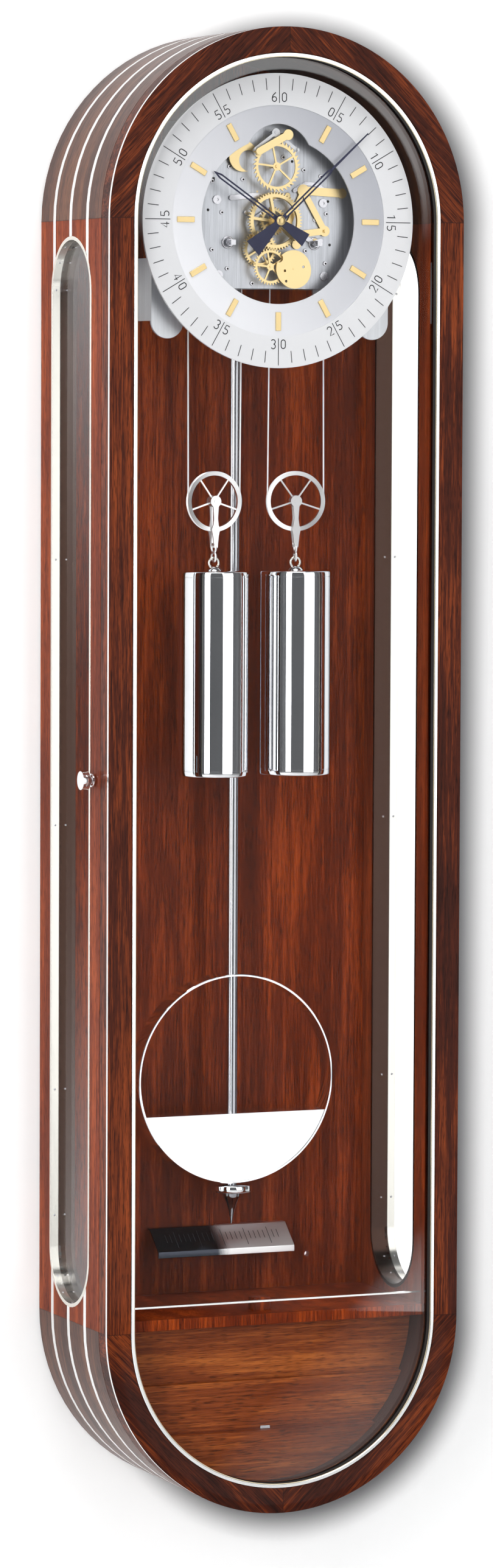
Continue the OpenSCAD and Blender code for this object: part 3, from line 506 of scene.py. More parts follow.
plate_steel = brushed("movement_plate", rgb(0.62, 0.64, 0.68), "z", 0.34, 0.95, 0.22)
plain_steel = brushed("plain_steel", rgb(0.62, 0.63, 0.65), "x", 0.38)
cast_alu = brushed("bracket_aluminium", rgb(0.72, 0.74, 0.77), "z", 0.42)
dial_white = brushed("dial_silver", rgb(0.73, 0.735, 0.75), "x", 0.50, 0.15, 0.01)


def satin(name, pale, deep):
    """The inner ring: a painted sheen in its colour, pale at the lower left and falling to dark at the upper
    right.
    """
    f = Finish(name, Metallic=0.6)
    x, y, z = f.place()
    painted_sheen_fall = (x * 0.8 + (z - z_dial) * 0.6).spread(-0.11, 0.11)
    lines = f.noise(f.vector(x, y, z * 0.02), 2600.0, 3.0, 0.7)
    f.feed(Base_Color=f.colour(painted_sheen_fall * 0.85 + lines * 0.15, pale, deep), Roughness=0.42 + lines * 0.1)
    f.bump(lines, 0.1, 0.0001)
    return f.material


dial_painted_sheen = satin("dial_satin_painted_sheen", rgb(0.86, 0.865, 0.89), rgb(0.38, 0.39, 0.43))


def half_lit(name, dark, pale):
    """The beat scale's mirror with a painted reflection: dark on its left half, pale on its right half."""
    f = Finish(name, Metallic=1.0, Roughness=0.24)
    x, y, z = f.place()
    waves = f.noise(f.vector(x, y, z), 30.0, 1.0)
    painted_reflection_side = (x + waves * 0.004).spread(-0.008, 0.006)
    f.feed(Base_Color=f.colour(painted_reflection_side, dark, pale), Roughness=0.12 + painted_reflection_side * 0.22)
    return f.material


def two_depth(name, pale, deep, plane):
    """The window liner: pale outside the glass, and inside it dark brown, a painted reflection of the wood.
    """
    f = Finish(name, Metallic=1.0)
    x, y, z = f.place()
    grain = f.noise(f.vector(x, y * 0.1, z * 0.1), 300.0, 2.0)
    inside = 1.0 - (abs(x) - plane).spread(-0.0004, 0.0004)
    f.feed(Base_Color=f.colour(inside, pale, deep), Roughness=0.16 + grain * 0.08)
    return f.material


glass_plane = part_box("window_glasses")[1].x
liner_painted_reflection = two_depth("window_liner_painted_reflection", rgb(0.74, 0.72, 0.66), rgb(0.055, 0.030, 0.022), glass_plane)
scale_painted_reflection = half_lit("beat_scale_painted_reflection", rgb(0.05, 0.055, 0.07), rgb(0.97, 0.97, 0.97))

# %% [markdown]
# ## Paint, ink and glass
# The hands are blued until almost black. The numbers are printed in thin dark ink.
# Window glass is nearly nothing: it lets all light through. The door's glass mirrors
# more at a flat angle, so there a Fresnel value mixes a transparent and a glossy shader.
# Real refraction would bend the view by less than a hair here and cost much time.

# %% Blued steel and ink
def painted(name, tint, rough=0.35, metallic=0.0, coat=0.0):
    f = Finish(name, Metallic=metallic)
    x, y, z = f.place()
    speck = f.noise(f.vector(x, y, z), 1400.0, 2.0)
    cloud = f.noise(f.vector(x, y, z), 40.0, 2.0)
    lift = tuple(min(1.0, c * 1.25 + 0.004) for c in tint[:3]) + (1.0,)
    f.feed(Base_Color=f.colour((speck * 0.5 + cloud * 0.5).spread(0.35, 0.7), tint, lift),
           Roughness=rough + speck * 0.08, Coat_Weight=coat)
    f.bump(speck, 0.05, 0.0001)
    return f.material


blued = painted("blued_steel", rgb(0.006, 0.008, 0.038), 0.5, 0.0)
cable_metal = painted("cable_wire", rgb(0.94, 0.94, 0.94), 0.5, 0.0)
ink = painted("dial_ink", rgb(0.012, 0.012, 0.016), 0.6)
# painted shadow: black for holes, slots and the bezel's depth, where only shade falls
shadow_black = painted("painted_shadow_black", rgb(0.012, 0.011, 0.010), 0.7)
groove = painted("wood_gap", rgb(0.02, 0.008, 0.006), 0.6)


# %% Clear panes
def pane(name, tint, share_of):
    """share_of turns (finish, x, z, edge) into how much the pane mirrors."""
    f = Finish(name)
    x, y, z = f.place()
    clear = f.add("ShaderNodeBsdfTransparent", None, {"Color": tint})
    shine = f.add("ShaderNodeBsdfGlossy", None, {"Color": rgb(1, 1, 1), "Roughness": 0.0})
    edge = f.field("ShaderNodeFresnel", None, {"IOR": 1.5})
    share = share_of(x, z, edge).spread(0.0, 1.0)
    mix = f.add("ShaderNodeMixShader", None, {0: share, 1: clear.outputs[0], 2: shine.outputs[0]})
    f.tree.links.new(mix.outputs[0], f.ending.inputs["Surface"])
    return f.material


def door_share(x, z, edge):
    """Little over the whole door, with more painted reflection in the lower right and round the top."""
    painted_reflection_low_right = (x - z).spread(1.20, 1.48) * 0.19
    from_dial = (x * x + (z - z_dial) * (z - z_dial)).root()
    top = from_dial.spread(0.1440, 0.1455) * z.spread(z_dial - 0.02, z_dial + 0.06) * 0.055
    return edge * 0.06 + painted_reflection_low_right + top


window_mid = (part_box("window_trims")[0].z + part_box("window_trims")[1].z) / 2
window_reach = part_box("window_trims")[1].z - window_mid


def side_share(x, z, edge):
    """The left pane is seen from outside at a flat angle, the right one from within; the left one gets a
    painted reflection that grows towards its top and bottom.
    """
    from_middle = (z - window_mid) * (1.0 / window_reach)
    return (x < 0.0) * (from_middle * from_middle * 0.13) + 0.01


door_pane = pane("door_pane", rgb(0.98, 0.98, 0.98), door_share)
side_pane = pane("side_pane", rgb(0.96, 0.965, 0.97), side_share)

# %% [markdown]
# ## Dress the fixed pieces
# A fixed piece whose shape is right keeps its mesh and only gets a finish. This is
# the cheapest way and keeps collision and looks the same. Pieces whose sharp edges
# would catch no light get a softened copy instead.

# %% Finishes by name
plain = {
    "back_panel": inner_wood, "hanger_plate": plain_steel, "window_glasses": side_pane,
    "white_inlays": white_metal, "door_glass": door_pane, "glass_retainer": dark_chrome,
    "pillars": screw_metal, "back_cock": plain_steel, "bell": gold, "pallet_anchor": plain_steel,
    "suspension_spring": plain_steel, "cable_left": cable_metal, "cable_right": cable_metal,
    "barrel_left": screw_metal, "barrel_right": screw_metal, "great_wheel_left": gold,
    "great_wheel_right": gold, "center_wheel": gold, "third_wheel": gold, "pin_wheel": gold,
    "strike_hammer": gold, "escape_wheel": gold, "cannon_wheel": gold, "minute_wheel": gold,
    "hour_wheel": gold, "lower_wheel": gold, "case_hinge_leaves": chrome,
    "door_hinge_leaves": chrome, "dial_ring": dial_white, "pulley_left": mirror_white,
    "pulley_right": mirror_white, "stirrup_left": mirror_white, "stirrup_right": mirror_white,
    "panel_catches": screw_metal, "pendulum_rod": rod_metal, "back_plate": plate_steel,
}
for name, finish in plain.items():
    nodes[name].data.materials.clear()
    nodes[name].data.materials.append(finish)
print("dressed as they are:", len(plain))

# %% Softened copies
soft = {
    "case_shell": (0.0006, side_wood), "shelf": (0.0008, inner_wood),
    "lower_panel": (0.0012, level_wood), "window_trims": (0.0003, liner_painted_reflection),
    "movement_brackets": (0.0012, cast_alu), "front_plate": (0.0003, plate_steel),
    "front_cocks": (0.0003, gold), "dial_plate": (0.0003, dial_painted_sheen),
    "hour_batons": (0.0003, gold_bright), "beat_scale": (0.0004, scale_painted_reflection),
    "cam_disc": (0.0002, gold), "strike_rack": (0.0002, gold),
    "bob_disc": (0.0008, bright_chrome), "minute_hand": (0.00012, blued), "hour_hand": (0.00012, blued),
}
fine = {name: softened(name, width, finish) for name, (width, finish) in soft.items()}
print("softened:", len(fine))

# %% [markdown]
# ## The door frame
# The door is a wooden hoop with a slightly rounded inner edge. A white metal strip
# sits in its outer front corner. Swept profiles give both, with the round edge that
# carries the long highlight down the frame.

# %% Swept frame, strip and bezel
rim_in = inner_r
strip_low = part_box("door_strip")[0].y
strip_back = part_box("door_strip")[1].y
strip_mid = (strip_low + strip_back) / 2
strip_in = 0.0012
hoop = [
    (rim_in, y_door_back), (case_r - 0.0004, y_door_back), (case_r, y_door_back - 0.0004),
    (case_r, strip_back), (case_r - strip_in, strip_back), (case_r - strip_in, strip_low),
    (case_r, strip_low), (case_r, y_door + 0.0003), (case_r - 0.0003, y_door),
    (rim_in + 0.0016, y_door), (rim_in + 0.0008, y_door + 0.0002),
    (rim_in + 0.0002, y_door + 0.0008), (rim_in, y_door + 0.0016),
]
door_hoop = sweep("door_hoop", hoop, "door", front_wood, 72)
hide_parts("door_frame")
corner = sweep("corner_strip", [
    (case_r - strip_in, strip_back), (case_r, strip_back), (case_r + 0.00004, strip_mid),
    (case_r, strip_low), (case_r - strip_in, strip_low)], "door", white_metal, 72)
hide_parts("door_strip")
bez_low, bez_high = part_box("door_bezel")
bez_in = inner_r - 0.004
bezel = sweep("bezel_ring", [
    (inner_r, bez_high.y), (inner_r, bez_low.y + 0.0003), (inner_r - 0.0004, bez_low.y),
    (bez_in + 0.0010, bez_low.y), (bez_in + 0.0006, bez_low.y + 0.0004),
    (bez_in + 0.0006, bez_high.y)], "door", white_metal, 72)
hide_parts("door_bezel")
sweep("bezel_lip", [
    (bez_in + 0.0006, bez_low.y + 0.0004), (bez_in + 0.0002, bez_low.y + 0.0005),
    (bez_in + 0.0001, bez_low.y + 0.0012), (bez_in + 0.0006, bez_low.y + 0.0014)], "door", lip_gold, 72)
# painted shade: the bezel's inner wall behind the lip is black
sweep("bezel_painted_shade", [
    (bez_in + 0.0006, bez_low.y + 0.0014), (bez_in, bez_low.y + 0.0014),
    (bez_in, bez_high.y), (bez_in + 0.0006, bez_high.y)], "door", shadow_black, 72)
print("door frame width", round((case_r - rim_in) * 1000, 1), "mm")

# %% [markdown]
# ## The dial's printing
# Sixty thin lines run round the outer ring. Every fifth line is longer and splits a
# two-digit number. The digits are drawn here as single strokes of even width, which
# is how an engraver's machine would cut them, so no font is needed.

# %% Single-stroke digits
def arc(cx, cz, r, a0, a1, steps=10):
    return [(cx + r * math.cos(math.radians(a0 + (a1 - a0) * i / steps)),
             cz + r * math.sin(math.radians(a0 + (a1 - a0) * i / steps))) for i in range(steps + 1)]


def oval():
    top = arc(0.28, 0.72, 0.25, 0, 180)
    low_half = arc(0.28, 0.28, 0.25, 180, 360)
    return [top + low_half + [top[0]]]


digits = {
    "0": oval(),
    "1": [[(0.12, 0.80), (0.36, 1.0), (0.36, 0.0)]],
    "2": [arc(0.28, 0.72, 0.26, 160, -35) + [(0.04, 0.0), (0.56, 0.0)]],
    "3": [arc(0.28, 0.745, 0.25, 150, -80) + arc(0.28, 0.255, 0.26, 80, -150)],
    "4": [[(0.42, 0.0), (0.42, 1.0), (0.02, 0.28), (0.60, 0.28)]],
    "5": [[(0.52, 1.0), (0.10, 1.0), (0.06, 0.56)] + arc(0.28, 0.30, 0.28, 118, -140)],
    "6": [[(0.46, 1.0)] + arc(0.62, 0.36, 0.58, 128, 178)[2:] + arc(0.29, 0.27, 0.26, 170, 530, 16)],
}
print("digits drawn:", "".join(digits))


# %% Lines and numbers round the ring
def polar(r, minute):
    a = math.radians(90 - 6 * minute)
    return (r * math.cos(a), z_dial + r * math.sin(a))


ring_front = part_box("dial_ring")[0].y
print_y = ring_front - 0.00004
marks = []
for minute in range(60):
    long_one = minute % 5 == 0
    marks.append([polar(dial_r * (0.982 if long_one else 0.968), minute),
                  polar(dial_r * (0.798 if long_one else 0.888), minute)])
ribbon("minute_lines", marks, 0.0008, print_y, "case", ink)
strokes = []
digit_h = 0.0088
for five in range(12):
    minute = five * 5
    label = {0: "60", 1: "05"}.get(five, str(minute))
    a = math.radians(90 - 6 * minute)
    out = Vector((math.cos(a), math.sin(a)))
    upright = out if not 20 <= minute <= 40 else -out
    right = Vector((upright.y, -upright.x))
    centre = Vector((0, z_dial)) + out * dial_r * 0.8375
    for k, char in enumerate(label):
        shift = (-0.60 - 0.30 if k == 0 else 0.30) * digit_h
        for line in digits[char]:
            strokes.append([tuple(centre + right * (shift + p[0] * digit_h)
                                  + upright * (p[1] - 0.5) * digit_h)
                            for p in line])
numbers = ribbon("minute_numbers", strokes, 0.0010, print_y, "case", ink)
print("lines", len(marks), "number strokes", len(strokes))

# %% [markdown]
# ## The hand nut and the centre
# A small domed nut holds the hands. Its polished dome is the brightest point of the
# dial, so it is turned on the lathe with a fine step and a slot-free crown.

# %% Hand nut
nut_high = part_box("hand_nut")[1]
nut = lathe("hand_dome", [(0.0, 0.0), (0.0045, 0.0), (0.0045, 0.0005), (0.0042, 0.0008)]
            + [(0.0040 * math.cos(math.radians(t)), 0.0008 + 0.0014 * math.sin(math.radians(t)))
               for t in range(0, 91, 10)],
            (0, nut_high.y, z_dial), (0, -1, 0), "minute", gold_bright, 64)
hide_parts("hand_nut")

# %% [markdown]
# ## What shows through the dial's opening
# Behind the hands the front plate carries small screws, bearings, a few steel
# levers and a slot. Each is a flat plate or a turned head, and together they
# make the view busy as it should be. Holes, screw slots and the slot are painted
# shade: dark discs and a dark patch just proud of the plate, since a real hole of
# two millimetres would show the same black.

# %% Flat plates drawn by an outline
def flat(name, outline_xz, y_back, thick, body, material, edge=0.0002):
    """A plate from an outline of (x, z) points; its front is towards the viewer."""
    bm = bmesh.new()
    ring = [bm.verts.new((x, y_back, z)) for x, z in outline_xz]
    face = bm.faces.new(ring)
    grown = bmesh.ops.extrude_face_region(bm, geom=[face])
    moved = [g for g in grown["geom"] if isinstance(g, bmesh.types.BMVert)]
    bmesh.ops.translate(bm, verts=moved, vec=(0, -thick, 0))
    bmesh.ops.recalc_face_normals(bm, faces=bm.faces)
    mesh = bpy.data.meshes.new(name)
    bm.to_mesh(mesh)
    bm.free()
    obj = bpy.data.objects.new(name, mesh)
    bpy.context.scene.collection.objects.link(obj)
    soften = obj.modifiers.new("edge", "BEVEL")
    soften.width = edge
    soften.segments = 2
    obj.data.materials.append(material)
    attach(obj, body)
    return obj


def strap(points, width):
    """The outline of a bar of even width along a few (x, z) points, round at its ends."""
    pts = [Vector(p) for p in points]
    left, back = [], []
    for i, p in enumerate(pts):
        t = (pts[min(i + 1, len(pts) - 1)] - pts[max(i - 1, 0)]).normalized()
        n = Vector((-t.y, t.x)) * width / 2
        left.append(p + n)
        back.append(p - n)

    def round_end(middle, first):
        """Five points of a half circle that starts beside the point first."""
        dx, dy = first - middle
        angles = [math.atan2(dy, dx) - math.pi * k / 6 for k in range(1, 6)]
        return [middle + Vector((math.cos(a), math.sin(a))) * width / 2 for a in angles]

    cap = round_end(pts[-1], left[-1])
    tail = round_end(pts[0], back[0])
    return [tuple(v) for v in left + cap + list(reversed(back)) + tail]


plate_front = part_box("front_plate")[0].y


def at(x, up):
    """A point of the plate, counted in millimetres from the dial's centre."""
    return (x * MM, z_dial + up * MM)


levers = {
    "lever_cross": ([at(-42, 22), at(-20, 24.5), at(4, 23), at(17, 25)], 0.0052, 0.0012),
    "lever_low": ([at(30, -12), at(44, -20), at(52, -18)], 0.0046, 0.0014),
    "lever_arc": ([at(24, 30), at(36, 37), at(48, 36), at(58, 29)], 0.0040, 0.0010),
    "lever_thin": ([at(-28, 8), at(-18, 3), at(-10, 8)], 0.0032, 0.0022),
}
for name, (points, width, rise) in levers.items():
    flat(name, strap(points, width), plate_front - rise, 0.0009, "case", screw_metal)
print("levers", len(levers))

# %% Screws, bearings and holes
def heads(name, spots, radius, height, body, material, slot=True):
    """Turned screw heads in one mesh; the slot argument is not used."""
    verts, faces = [], []
    steps = 20
    for x, z, lift in spots:
        rings = [(1.0, 0.0), (1.0, 0.75), (0.88, 1.0), (0.0, 1.0)]
        base = len(verts)
        for rr, hh in rings:
            for i in range(steps):
                a = 2 * math.pi * i / steps
                verts.append((x + radius * rr * math.cos(a), lift - height * hh,
                              z + radius * rr * math.sin(a)))
        for k in range(3):
            for i in range(steps):
                j = (i + 1) % steps
                faces.append((base + k * steps + i, base + k * steps + j,
                              base + (k + 1) * steps + j, base + (k + 1) * steps + i))
    return piece(name, verts, faces, body, material, angle=40)


small = [(-62, 38), (-52, 8), (-14, 62), (12, 62), (34, 50), (52, 44), (58, 8), (46, 2), (36, -28),
         (57, -40), (-46, -46), (-62, -28), (-30, 40), (-44, 52), (20, 36), (2, 21), (28, -52), (-20, -60)]
slots = [(x + 0.4, u - 0.2) for x, u in small]
holes = [(-8, 70), (22, 58), (60, 20), (-66, 10), (40, 24), (62, -22)]
pins = [(2, 24), (33.5, -13), (46, -19), (16.5, 25)]


def before_plate(places, gap):
    return [(*at(x, u), plate_front - gap) for x, u in places]


heads("small_screws", before_plate(small, 0.00005), 0.0021, 0.0011, "case", screw_metal)
# painted shade: black discs for the screw slots and the pivot holes
heads("screw_slots_painted_shade", before_plate(slots, 0.0011), 0.0010, 0.0001, "case", shadow_black)
heads("pivot_holes_painted_shade", before_plate(holes, 0.00002), 0.0014, 0.00005, "case", shadow_black)
heads("steel_pins", before_plate(pins, 0.001), 0.0030, 0.0016, "case", gold)
bearing = [(-45.5, -21), (45.5, -21)]
for x, u in bearing:
    cx, cz = at(x, u)
    ring_wire("bearing_" + ("left" if x < 0 else "right"), (cx, plate_front - 0.0008, cz), (0, -1, 0),
              0.0052, 0.0009, "case", screw_metal)
# painted shade: a black patch where the plate has a slot
flat("plate_slot_painted_shade", [at(-67, 37.4), at(-59, 37.4), at(-59, 41.4), at(-67, 41.4)],
     plate_front - 0.00002, 0.00004, "case", shadow_black, 0.00001)
print("screw heads", len(small), "bearings", len(bearing))

# %% [markdown]
# ## The weights
# Each weight is a chromed tube with a turned cap at either end. The caps are only
# seen as fine lines near the rims. A lathe profile with two thin grooves gives them,
# and a ring of a bent wire carries the load.

# %% Turned weights
def weight(side):
    node = "weight_" + side
    lo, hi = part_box(node)
    r = (hi.x - lo.x) / 2
    cx = (hi.x + lo.x) / 2
    cy = (hi.y + lo.y) / 2
    z0 = lo.z
    h = 0.200
    prof = [(0.0, 0.0), (r - 0.0014, 0.0), (r - 0.0005, 0.0004), (r, 0.0012), (r, 0.0052),
            (r - 0.0004, 0.0054), (r - 0.0004, 0.0058), (r, 0.0060), (r, h - 0.0060),
            (r - 0.0004, h - 0.0058), (r - 0.0004, h - 0.0054), (r, h - 0.0052), (r, h - 0.0012),
            (r - 0.0005, h - 0.0004), (r - 0.0014, h), (0.0085, h + 0.0001), (0.0080, h + 0.0008),
            (0.0066, h + 0.0030), (0.0046, h + 0.0042), (0.0, h + 0.0046)]
    body = side + "_weight"
    turned = lathe("turned_weight_" + side, prof, (cx, cy, z0), (0, 0, 1), body, chrome, 128, 40)
    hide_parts(node)
    eye = ring_wire("weight_eye_" + side, (cx, cy, z0 + h + 0.008), (0, 1, 0), 0.005, 0.0012, body, nickel)
    return turned, eye


for side in ("left", "right"):
    weight(side)
print("weights turned")

# %% [markdown]
# ## The pendulum bob
# The bob is a thin chromed hoop with a polished half disc in it. Its outside edge is
# slightly crowned, which gives a fine double line where it turns to the light. Below
# it sit a knurled rating nut and a long pointer.

# %% Hoop, nut and pointer
ring_lo, ring_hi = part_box("bob_ring")
bob_r = (ring_hi.x - ring_lo.x) / 2
bob_z = (ring_hi.z + ring_lo.z) / 2
bob_y = (ring_hi.y + ring_lo.y) / 2
half = (ring_hi.y - ring_lo.y) / 2
band = 0.002
hoop_prof = [(bob_r - band, -half), (bob_r - 0.0006, -half), (bob_r, -half + 0.0006), (bob_r, half - 0.0006),
             (bob_r - 0.0006, half), (bob_r - band, half), (bob_r - band, -half)]
hoop_piece = lathe("bob_hoop", hoop_prof, (0, bob_y, bob_z), (0, -1, 0), "pendulum", chrome, 160, 30)
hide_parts("bob_ring")
nut_lo, nut_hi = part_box("rating_nut")
nut_top = nut_hi.z


def knurled(name, centre, r, h, teeth, body, material):
    verts, faces = [], []
    levels = [(-0.0008, 0.0), (0.0, 0.0008), (0.0, h - 0.0008), (-0.0008, h)]
    count = teeth * 2
    for dr, dz in levels:
        for i in range(count):
            a = 2 * math.pi * i / count
            rr = r + dr - (0.0005 if i % 2 else 0.0)
            verts.append((centre[0] + rr * math.cos(a), centre[1] + rr * math.sin(a), centre[2] + dz))
    for k in range(3):
        for i in range(count):
            j = (i + 1) % count
            faces.append((k * count + i, k * count + j, (k + 1) * count + j, (k + 1) * count + i))
    faces.append(tuple(reversed(range(count))))
    faces.append(tuple(range(3 * count, 4 * count)))
    return piece(name, verts, faces, body, material, angle=60)


rating = knurled("rating_wheel", (0, bob_y, nut_top - 0.007), 0.020, 0.007, 72, "pendulum", chrome)
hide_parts("rating_nut")
tip_z = nut_lo.z
pointer = lathe("pointer", [
    (0.0, 0.0), (0.0006, 0.0), (0.0016, 0.006), (0.0030, 0.014), (0.0052, 0.021), (0.0078, 0.0262),
    (0.0088, 0.0290), (0.0088, 0.0320), (0.0075, 0.0330), (0.0, 0.0330)],
    (0, bob_y, tip_z), (0, 0, 1), "pendulum", dark_chrome, 64, 45)
print("bob radius", round(bob_r, 4), "pointer tip at", round(tip_z, 4))

# %% [markdown]
# ## The beat scale's lines
# The chromed bar under the pendulum is engraved every five millimetres, with longer
# lines at the middle and at the fifth places. They lie on its sloping face.

# %% Engraved lines on the slope
sc_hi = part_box("beat_scale")[1]
slope_top = Vector((0, -0.014, sc_hi.z))
slope_low = Vector((0, -0.038, sc_hi.z - 0.0205))
run = slope_low - slope_top
lift = Vector((0, run.z, -run.y)).normalized() * -0.00006
if lift.y > 0:
    lift = -lift
verts, faces = [], []
for i in range(-12, 13):
    long_one = i % 5 == 0
    start, stop = (0.18, 0.86) if long_one else (0.30, 0.62)
    wide = 0.0003
    base = len(verts)
    for s in (start, stop):
        for dx in (-wide, wide):
            p = slope_top + run * s + lift
            verts.append((i * 0.005 + dx, p.y, p.z))
    faces.append((base, base + 1, base + 3, base + 2))
piece("beat_lines", verts, faces, "case", ink, smooth=False)

# %% [markdown]
# ## The latch knob
# The knob is two turned discs on a short neck. It is small, yet it is the one thing
# a hand touches, so it gets a proper profile.

# %% Knob profile
ky = -0.145
kz = z_dial - 0.5375
knob = lathe("knob_discs", [
    (0.0, 0.0), (0.0062, 0.0), (0.0065, 0.0004), (0.0065, 0.0030), (0.0060, 0.0036), (0.0040, 0.0042),
    (0.0036, 0.0060), (0.0042, 0.0070), (0.0080, 0.0076), (0.0090, 0.0086), (0.0090, 0.0112),
    (0.0082, 0.0126), (0.0050, 0.0137), (0.0, 0.0140)],
    (-case_r - 0.0001, ky, kz), (-1, 0, 0), "knob", chrome, 64, 40)
nodes["latch_knob"].data.materials.clear()
nodes["latch_knob"].data.materials.append(chrome)
print("knob at", round(ky, 4), round(kz, 4))

# %% [markdown]
# ## Lines and small screws
# White lines mark the edge of the shelf and the front of the case. Tiny domed screws
# hold the window trims. They are too small to need their own fixed pieces, but the
# eye misses them when they are gone.

# %% Shelf line and trim screws
sh_lo, sh_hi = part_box("shelf")
edge_y = sh_lo.y
line_half = 0.1575
verts = [(-line_half, edge_y - 0.0004, sh_hi.z - 0.0014), (line_half, edge_y - 0.0004, sh_hi.z - 0.0014),
         (line_half, edge_y - 0.0004, sh_hi.z + 0.0003), (-line_half, edge_y - 0.0004, sh_hi.z + 0.0003),
         (-line_half, edge_y + 0.0030, sh_hi.z + 0.0003), (line_half, edge_y + 0.0030, sh_hi.z + 0.0003)]
shelf_line = piece("shelf_line", verts, [(0, 1, 2, 3), (3, 2, 5, 4)], "case", white_metal, smooth=False)
tr_lo, tr_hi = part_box("window_trims")
win_y = (tr_lo.y + tr_hi.y) / 2
win_r = (tr_hi.y - tr_lo.y) / 2 - 0.0037
win_top = tr_hi.z - (tr_hi.y - tr_lo.y) / 2
win_low = tr_lo.z + (tr_hi.y - tr_lo.y) / 2


def domes(name, spots, r, body, material):
    """Many small domed screw heads; each spot is (point, way out)."""
    verts, faces = [], []
    for point, way in spots:
        up = Vector(way).normalized()
        side = up.orthogonal().normalized()
        fore = up.cross(side)
        base = len(verts)
        rings = [(1.0, 0.0), (0.92, 0.22), (0.6, 0.42)]
        for rr, hh in rings:
            for i in range(14):
                a = 2 * math.pi * i / 14
                away = side * math.cos(a) + fore * math.sin(a)
                verts.append(Vector(point) + away * r * rr + up * r * hh)
        for k in range(2):
            for i in range(14):
                j = (i + 1) % 14
                faces.append((base + k * 14 + i, base + k * 14 + j,
                              base + (k + 1) * 14 + j, base + (k + 1) * 14 + i))
        faces.append(tuple(base + 28 + i for i in range(14)))
    return piece(name, verts, faces, body, material, angle=60)


spots = []
for s in (-1, 1):
    for x in (0.1705, 0.1815):
        for y_side in (-1, 1):
            for z in (win_top + 0.002, win_top - 0.26, win_top - 0.52, win_top - 0.78, win_low + 0.03):
                spots.append(((s * x, win_y + y_side * win_r, z), (0, -y_side, 0)))
        for a in (35, 60, 90, 120, 145):
            for zc, flip in ((win_top, 1), (win_low, -1)):
                c, d = math.cos(math.radians(a)), math.sin(math.radians(a)) * flip
                spots.append(((s * x, win_y + c * win_r, zc + d * win_r), (0, -c, -d)))
trim_screws = domes("trim_screws", spots, 0.0011, "case", screw_metal)
print("trim screws", len(spots))

# %% [markdown]
# ## Studio
# A pale wall stands behind the clock and a plain pale floor lies below. The wall
# carries a painted shadow at the case's right side and lower end, and glows behind
# the case. Long soft boxes at the sides draw the bright stripes on the chrome, and a
# broad light from above fills the rest. The wall is clear from behind, so the back
# stays visible.

# %% Wall and floor
def card(name, centre, size, look, material):
    """A flat stage piece: size is (width, height), look is its normal."""
    n = Vector(look).normalized()
    side = Vector((0, 0, 1)).cross(n)
    side = side.normalized() if side.length > 1e-4 else Vector((1, 0, 0))
    up = n.cross(side)
    c = Vector(centre)
    w, h = size[0] / 2, size[1] / 2
    mesh = bpy.data.meshes.new(name)
    a, b = side * w, up * h
    mesh.from_pydata([c - a - b, c + a - b, c + a + b, c - a + b], [], [(0, 1, 2, 3)])
    obj = bpy.data.objects.new(name, mesh)
    obj.data.materials.append(material)
    bpy.context.scene.collection.objects.link(obj)
    return obj


stage_white = Finish("stage_white", Roughness=0.9, Specular_IOR_Level=0.0)
stage_white.shader.inputs["Base Color"].default_value = rgb(0.86, 0.86, 0.86)
def shaded_wall():
    """Near white, with a soft shade at the case's right side and lower end.

    Behind the case it glows a little, which lights the windows and the back board,
    and from behind it is clear, so that it doesn't hide the clock.
    """
    f = Finish("stage_wall", Roughness=0.9, Specular_IOR_Level=0.0)
    x, y, z = f.place()
    across = x - 0.088
    past_end = z - z_dial - 0.002
    beyond = z_low - 0.040 - z
    rise = past_end.most(beyond).most(0.0)
    away = (across * across + rise * rise).root() - case_r
    outer = away.spread(-0.006, 0.036)
    inner = (away * -1.0).spread(0.015, 0.045)
    shade = (outer * outer * (3.0 - outer * 2.0)).most(inner)
    f.feed(Base_Color=f.colour(shade, rgb(0.17, 0.17, 0.175), rgb(0.93, 0.93, 0.93)))
    f.shader.inputs["Emission Strength"].default_value = 1.0
    f.feed(Emission_Color=f.colour(inner, f.colour(shade, rgb(0, 0, 0), rgb(0.13, 0.13, 0.13)),
                                   rgb(0.84, 0.85, 0.87)))
    clear = f.add("ShaderNodeBsdfTransparent")
    behind = f.add("ShaderNodeNewGeometry").outputs["Backfacing"]
    mix = f.add("ShaderNodeMixShader", None, {0: behind, 1: f.shader.outputs[0], 2: clear.outputs[0]})
    f.join(mix.outputs[0], f.ending.inputs["Surface"])
    return f.material


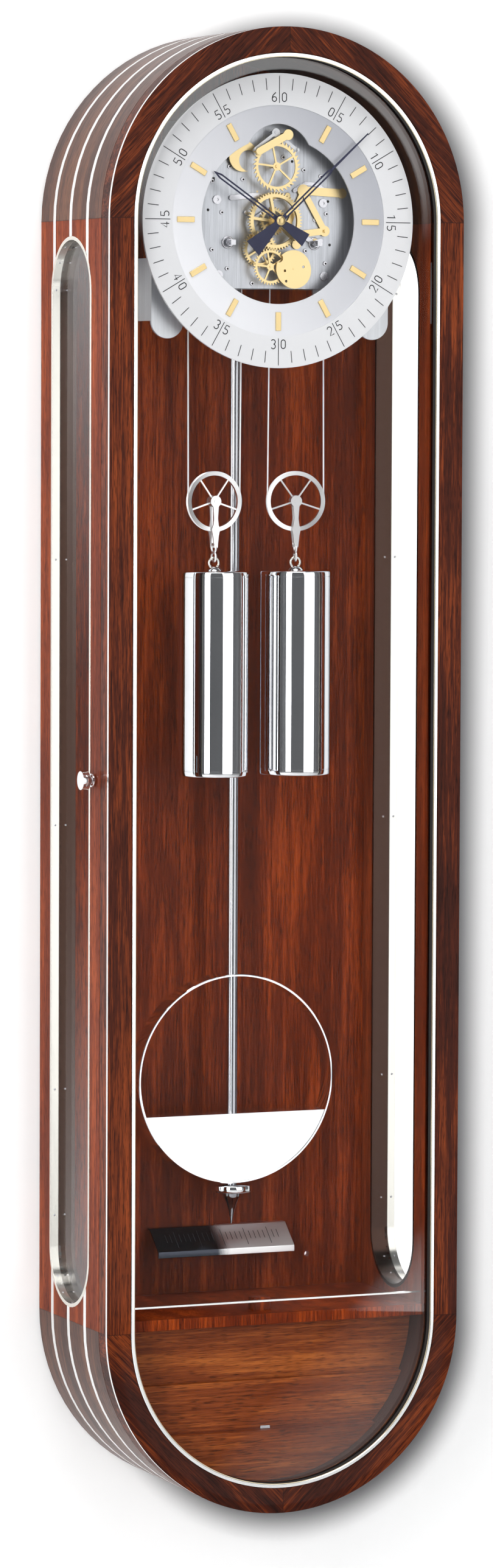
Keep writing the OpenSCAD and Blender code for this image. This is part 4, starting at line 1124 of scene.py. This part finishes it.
wall = card("wall", (0, 0.004, -0.2), (14, 8), (0, -1, 0), shaded_wall())
floor = card("floor", (0, -4.0, -2.1), (14, 9), (0, 0, 1), stage_white.material)


# %% Lights
def softbox(name, place, target, size, power, tint=(1, 1, 1)):
    light = bpy.data.lights.new(name, "AREA")
    light.shape = "RECTANGLE"
    light.size, light.size_y = size
    light.energy = power
    light.color = tint
    obj = bpy.data.objects.new(name, light)
    bpy.context.scene.collection.objects.link(obj)
    obj.location = place
    obj.rotation_euler = (Vector(target) - Vector(place)).to_track_quat("-Z", "Y").to_euler()
    return obj


middle = (0, -0.1, -0.6)
softbox("key_left", (-2.9, -3.3, 0.3), middle, (1.3, 3.6), 85)
softbox("wide_right", (1.6, -3.5, 0.1), middle, (2.5, 3.8), 50)
softbox("edge_left", (-4.2, -0.9, 0.0), middle, (1.0, 3.2), 55)
softbox("top", (-0.6, -1.8, 2.8), middle, (3.0, 1.6), 85)
world = bpy.data.worlds.new("studio")
bpy.context.scene.world = world
world.use_nodes = True
world.node_tree.nodes["Background"].inputs[0].default_value = (0.92, 0.94, 0.97, 1)
world.node_tree.nodes["Background"].inputs[1].default_value = 0.14

# %% [markdown]
# ## Camera
# The camera stands five and a half metres away, a little to the left and almost
# level, with a long lens, so the upright edges stay nearly parallel.

# %% Camera
az, el, roll = math.radians(22.87), math.radians(3.88), math.radians(0.246)
forward = Vector((math.sin(az) * math.cos(el), math.cos(az) * math.cos(el), -math.sin(el)))
right = Vector((math.cos(az), -math.sin(az), 0))
up = right.cross(forward)
right_r = right * math.cos(roll) + up * math.sin(roll)
up_r = -right * math.sin(roll) + up * math.cos(roll)
camera = bpy.data.cameras.new("camera")
camera.sensor_fit = "VERTICAL"
camera.sensor_height = 36
camera.lens = 134.4
eye = bpy.data.objects.new("camera", camera)
eye.matrix_world = Matrix((
    (right_r.x, up_r.x, -forward.x, -2.230), (right_r.y, up_r.y, -forward.y, -5.370),
    (right_r.z, up_r.z, -forward.z, -0.230), (0, 0, 0, 1)))
bpy.context.scene.collection.objects.link(eye)
bpy.context.scene.camera = eye
bpy.context.scene.view_settings.view_transform = "Standard"
print("camera set")
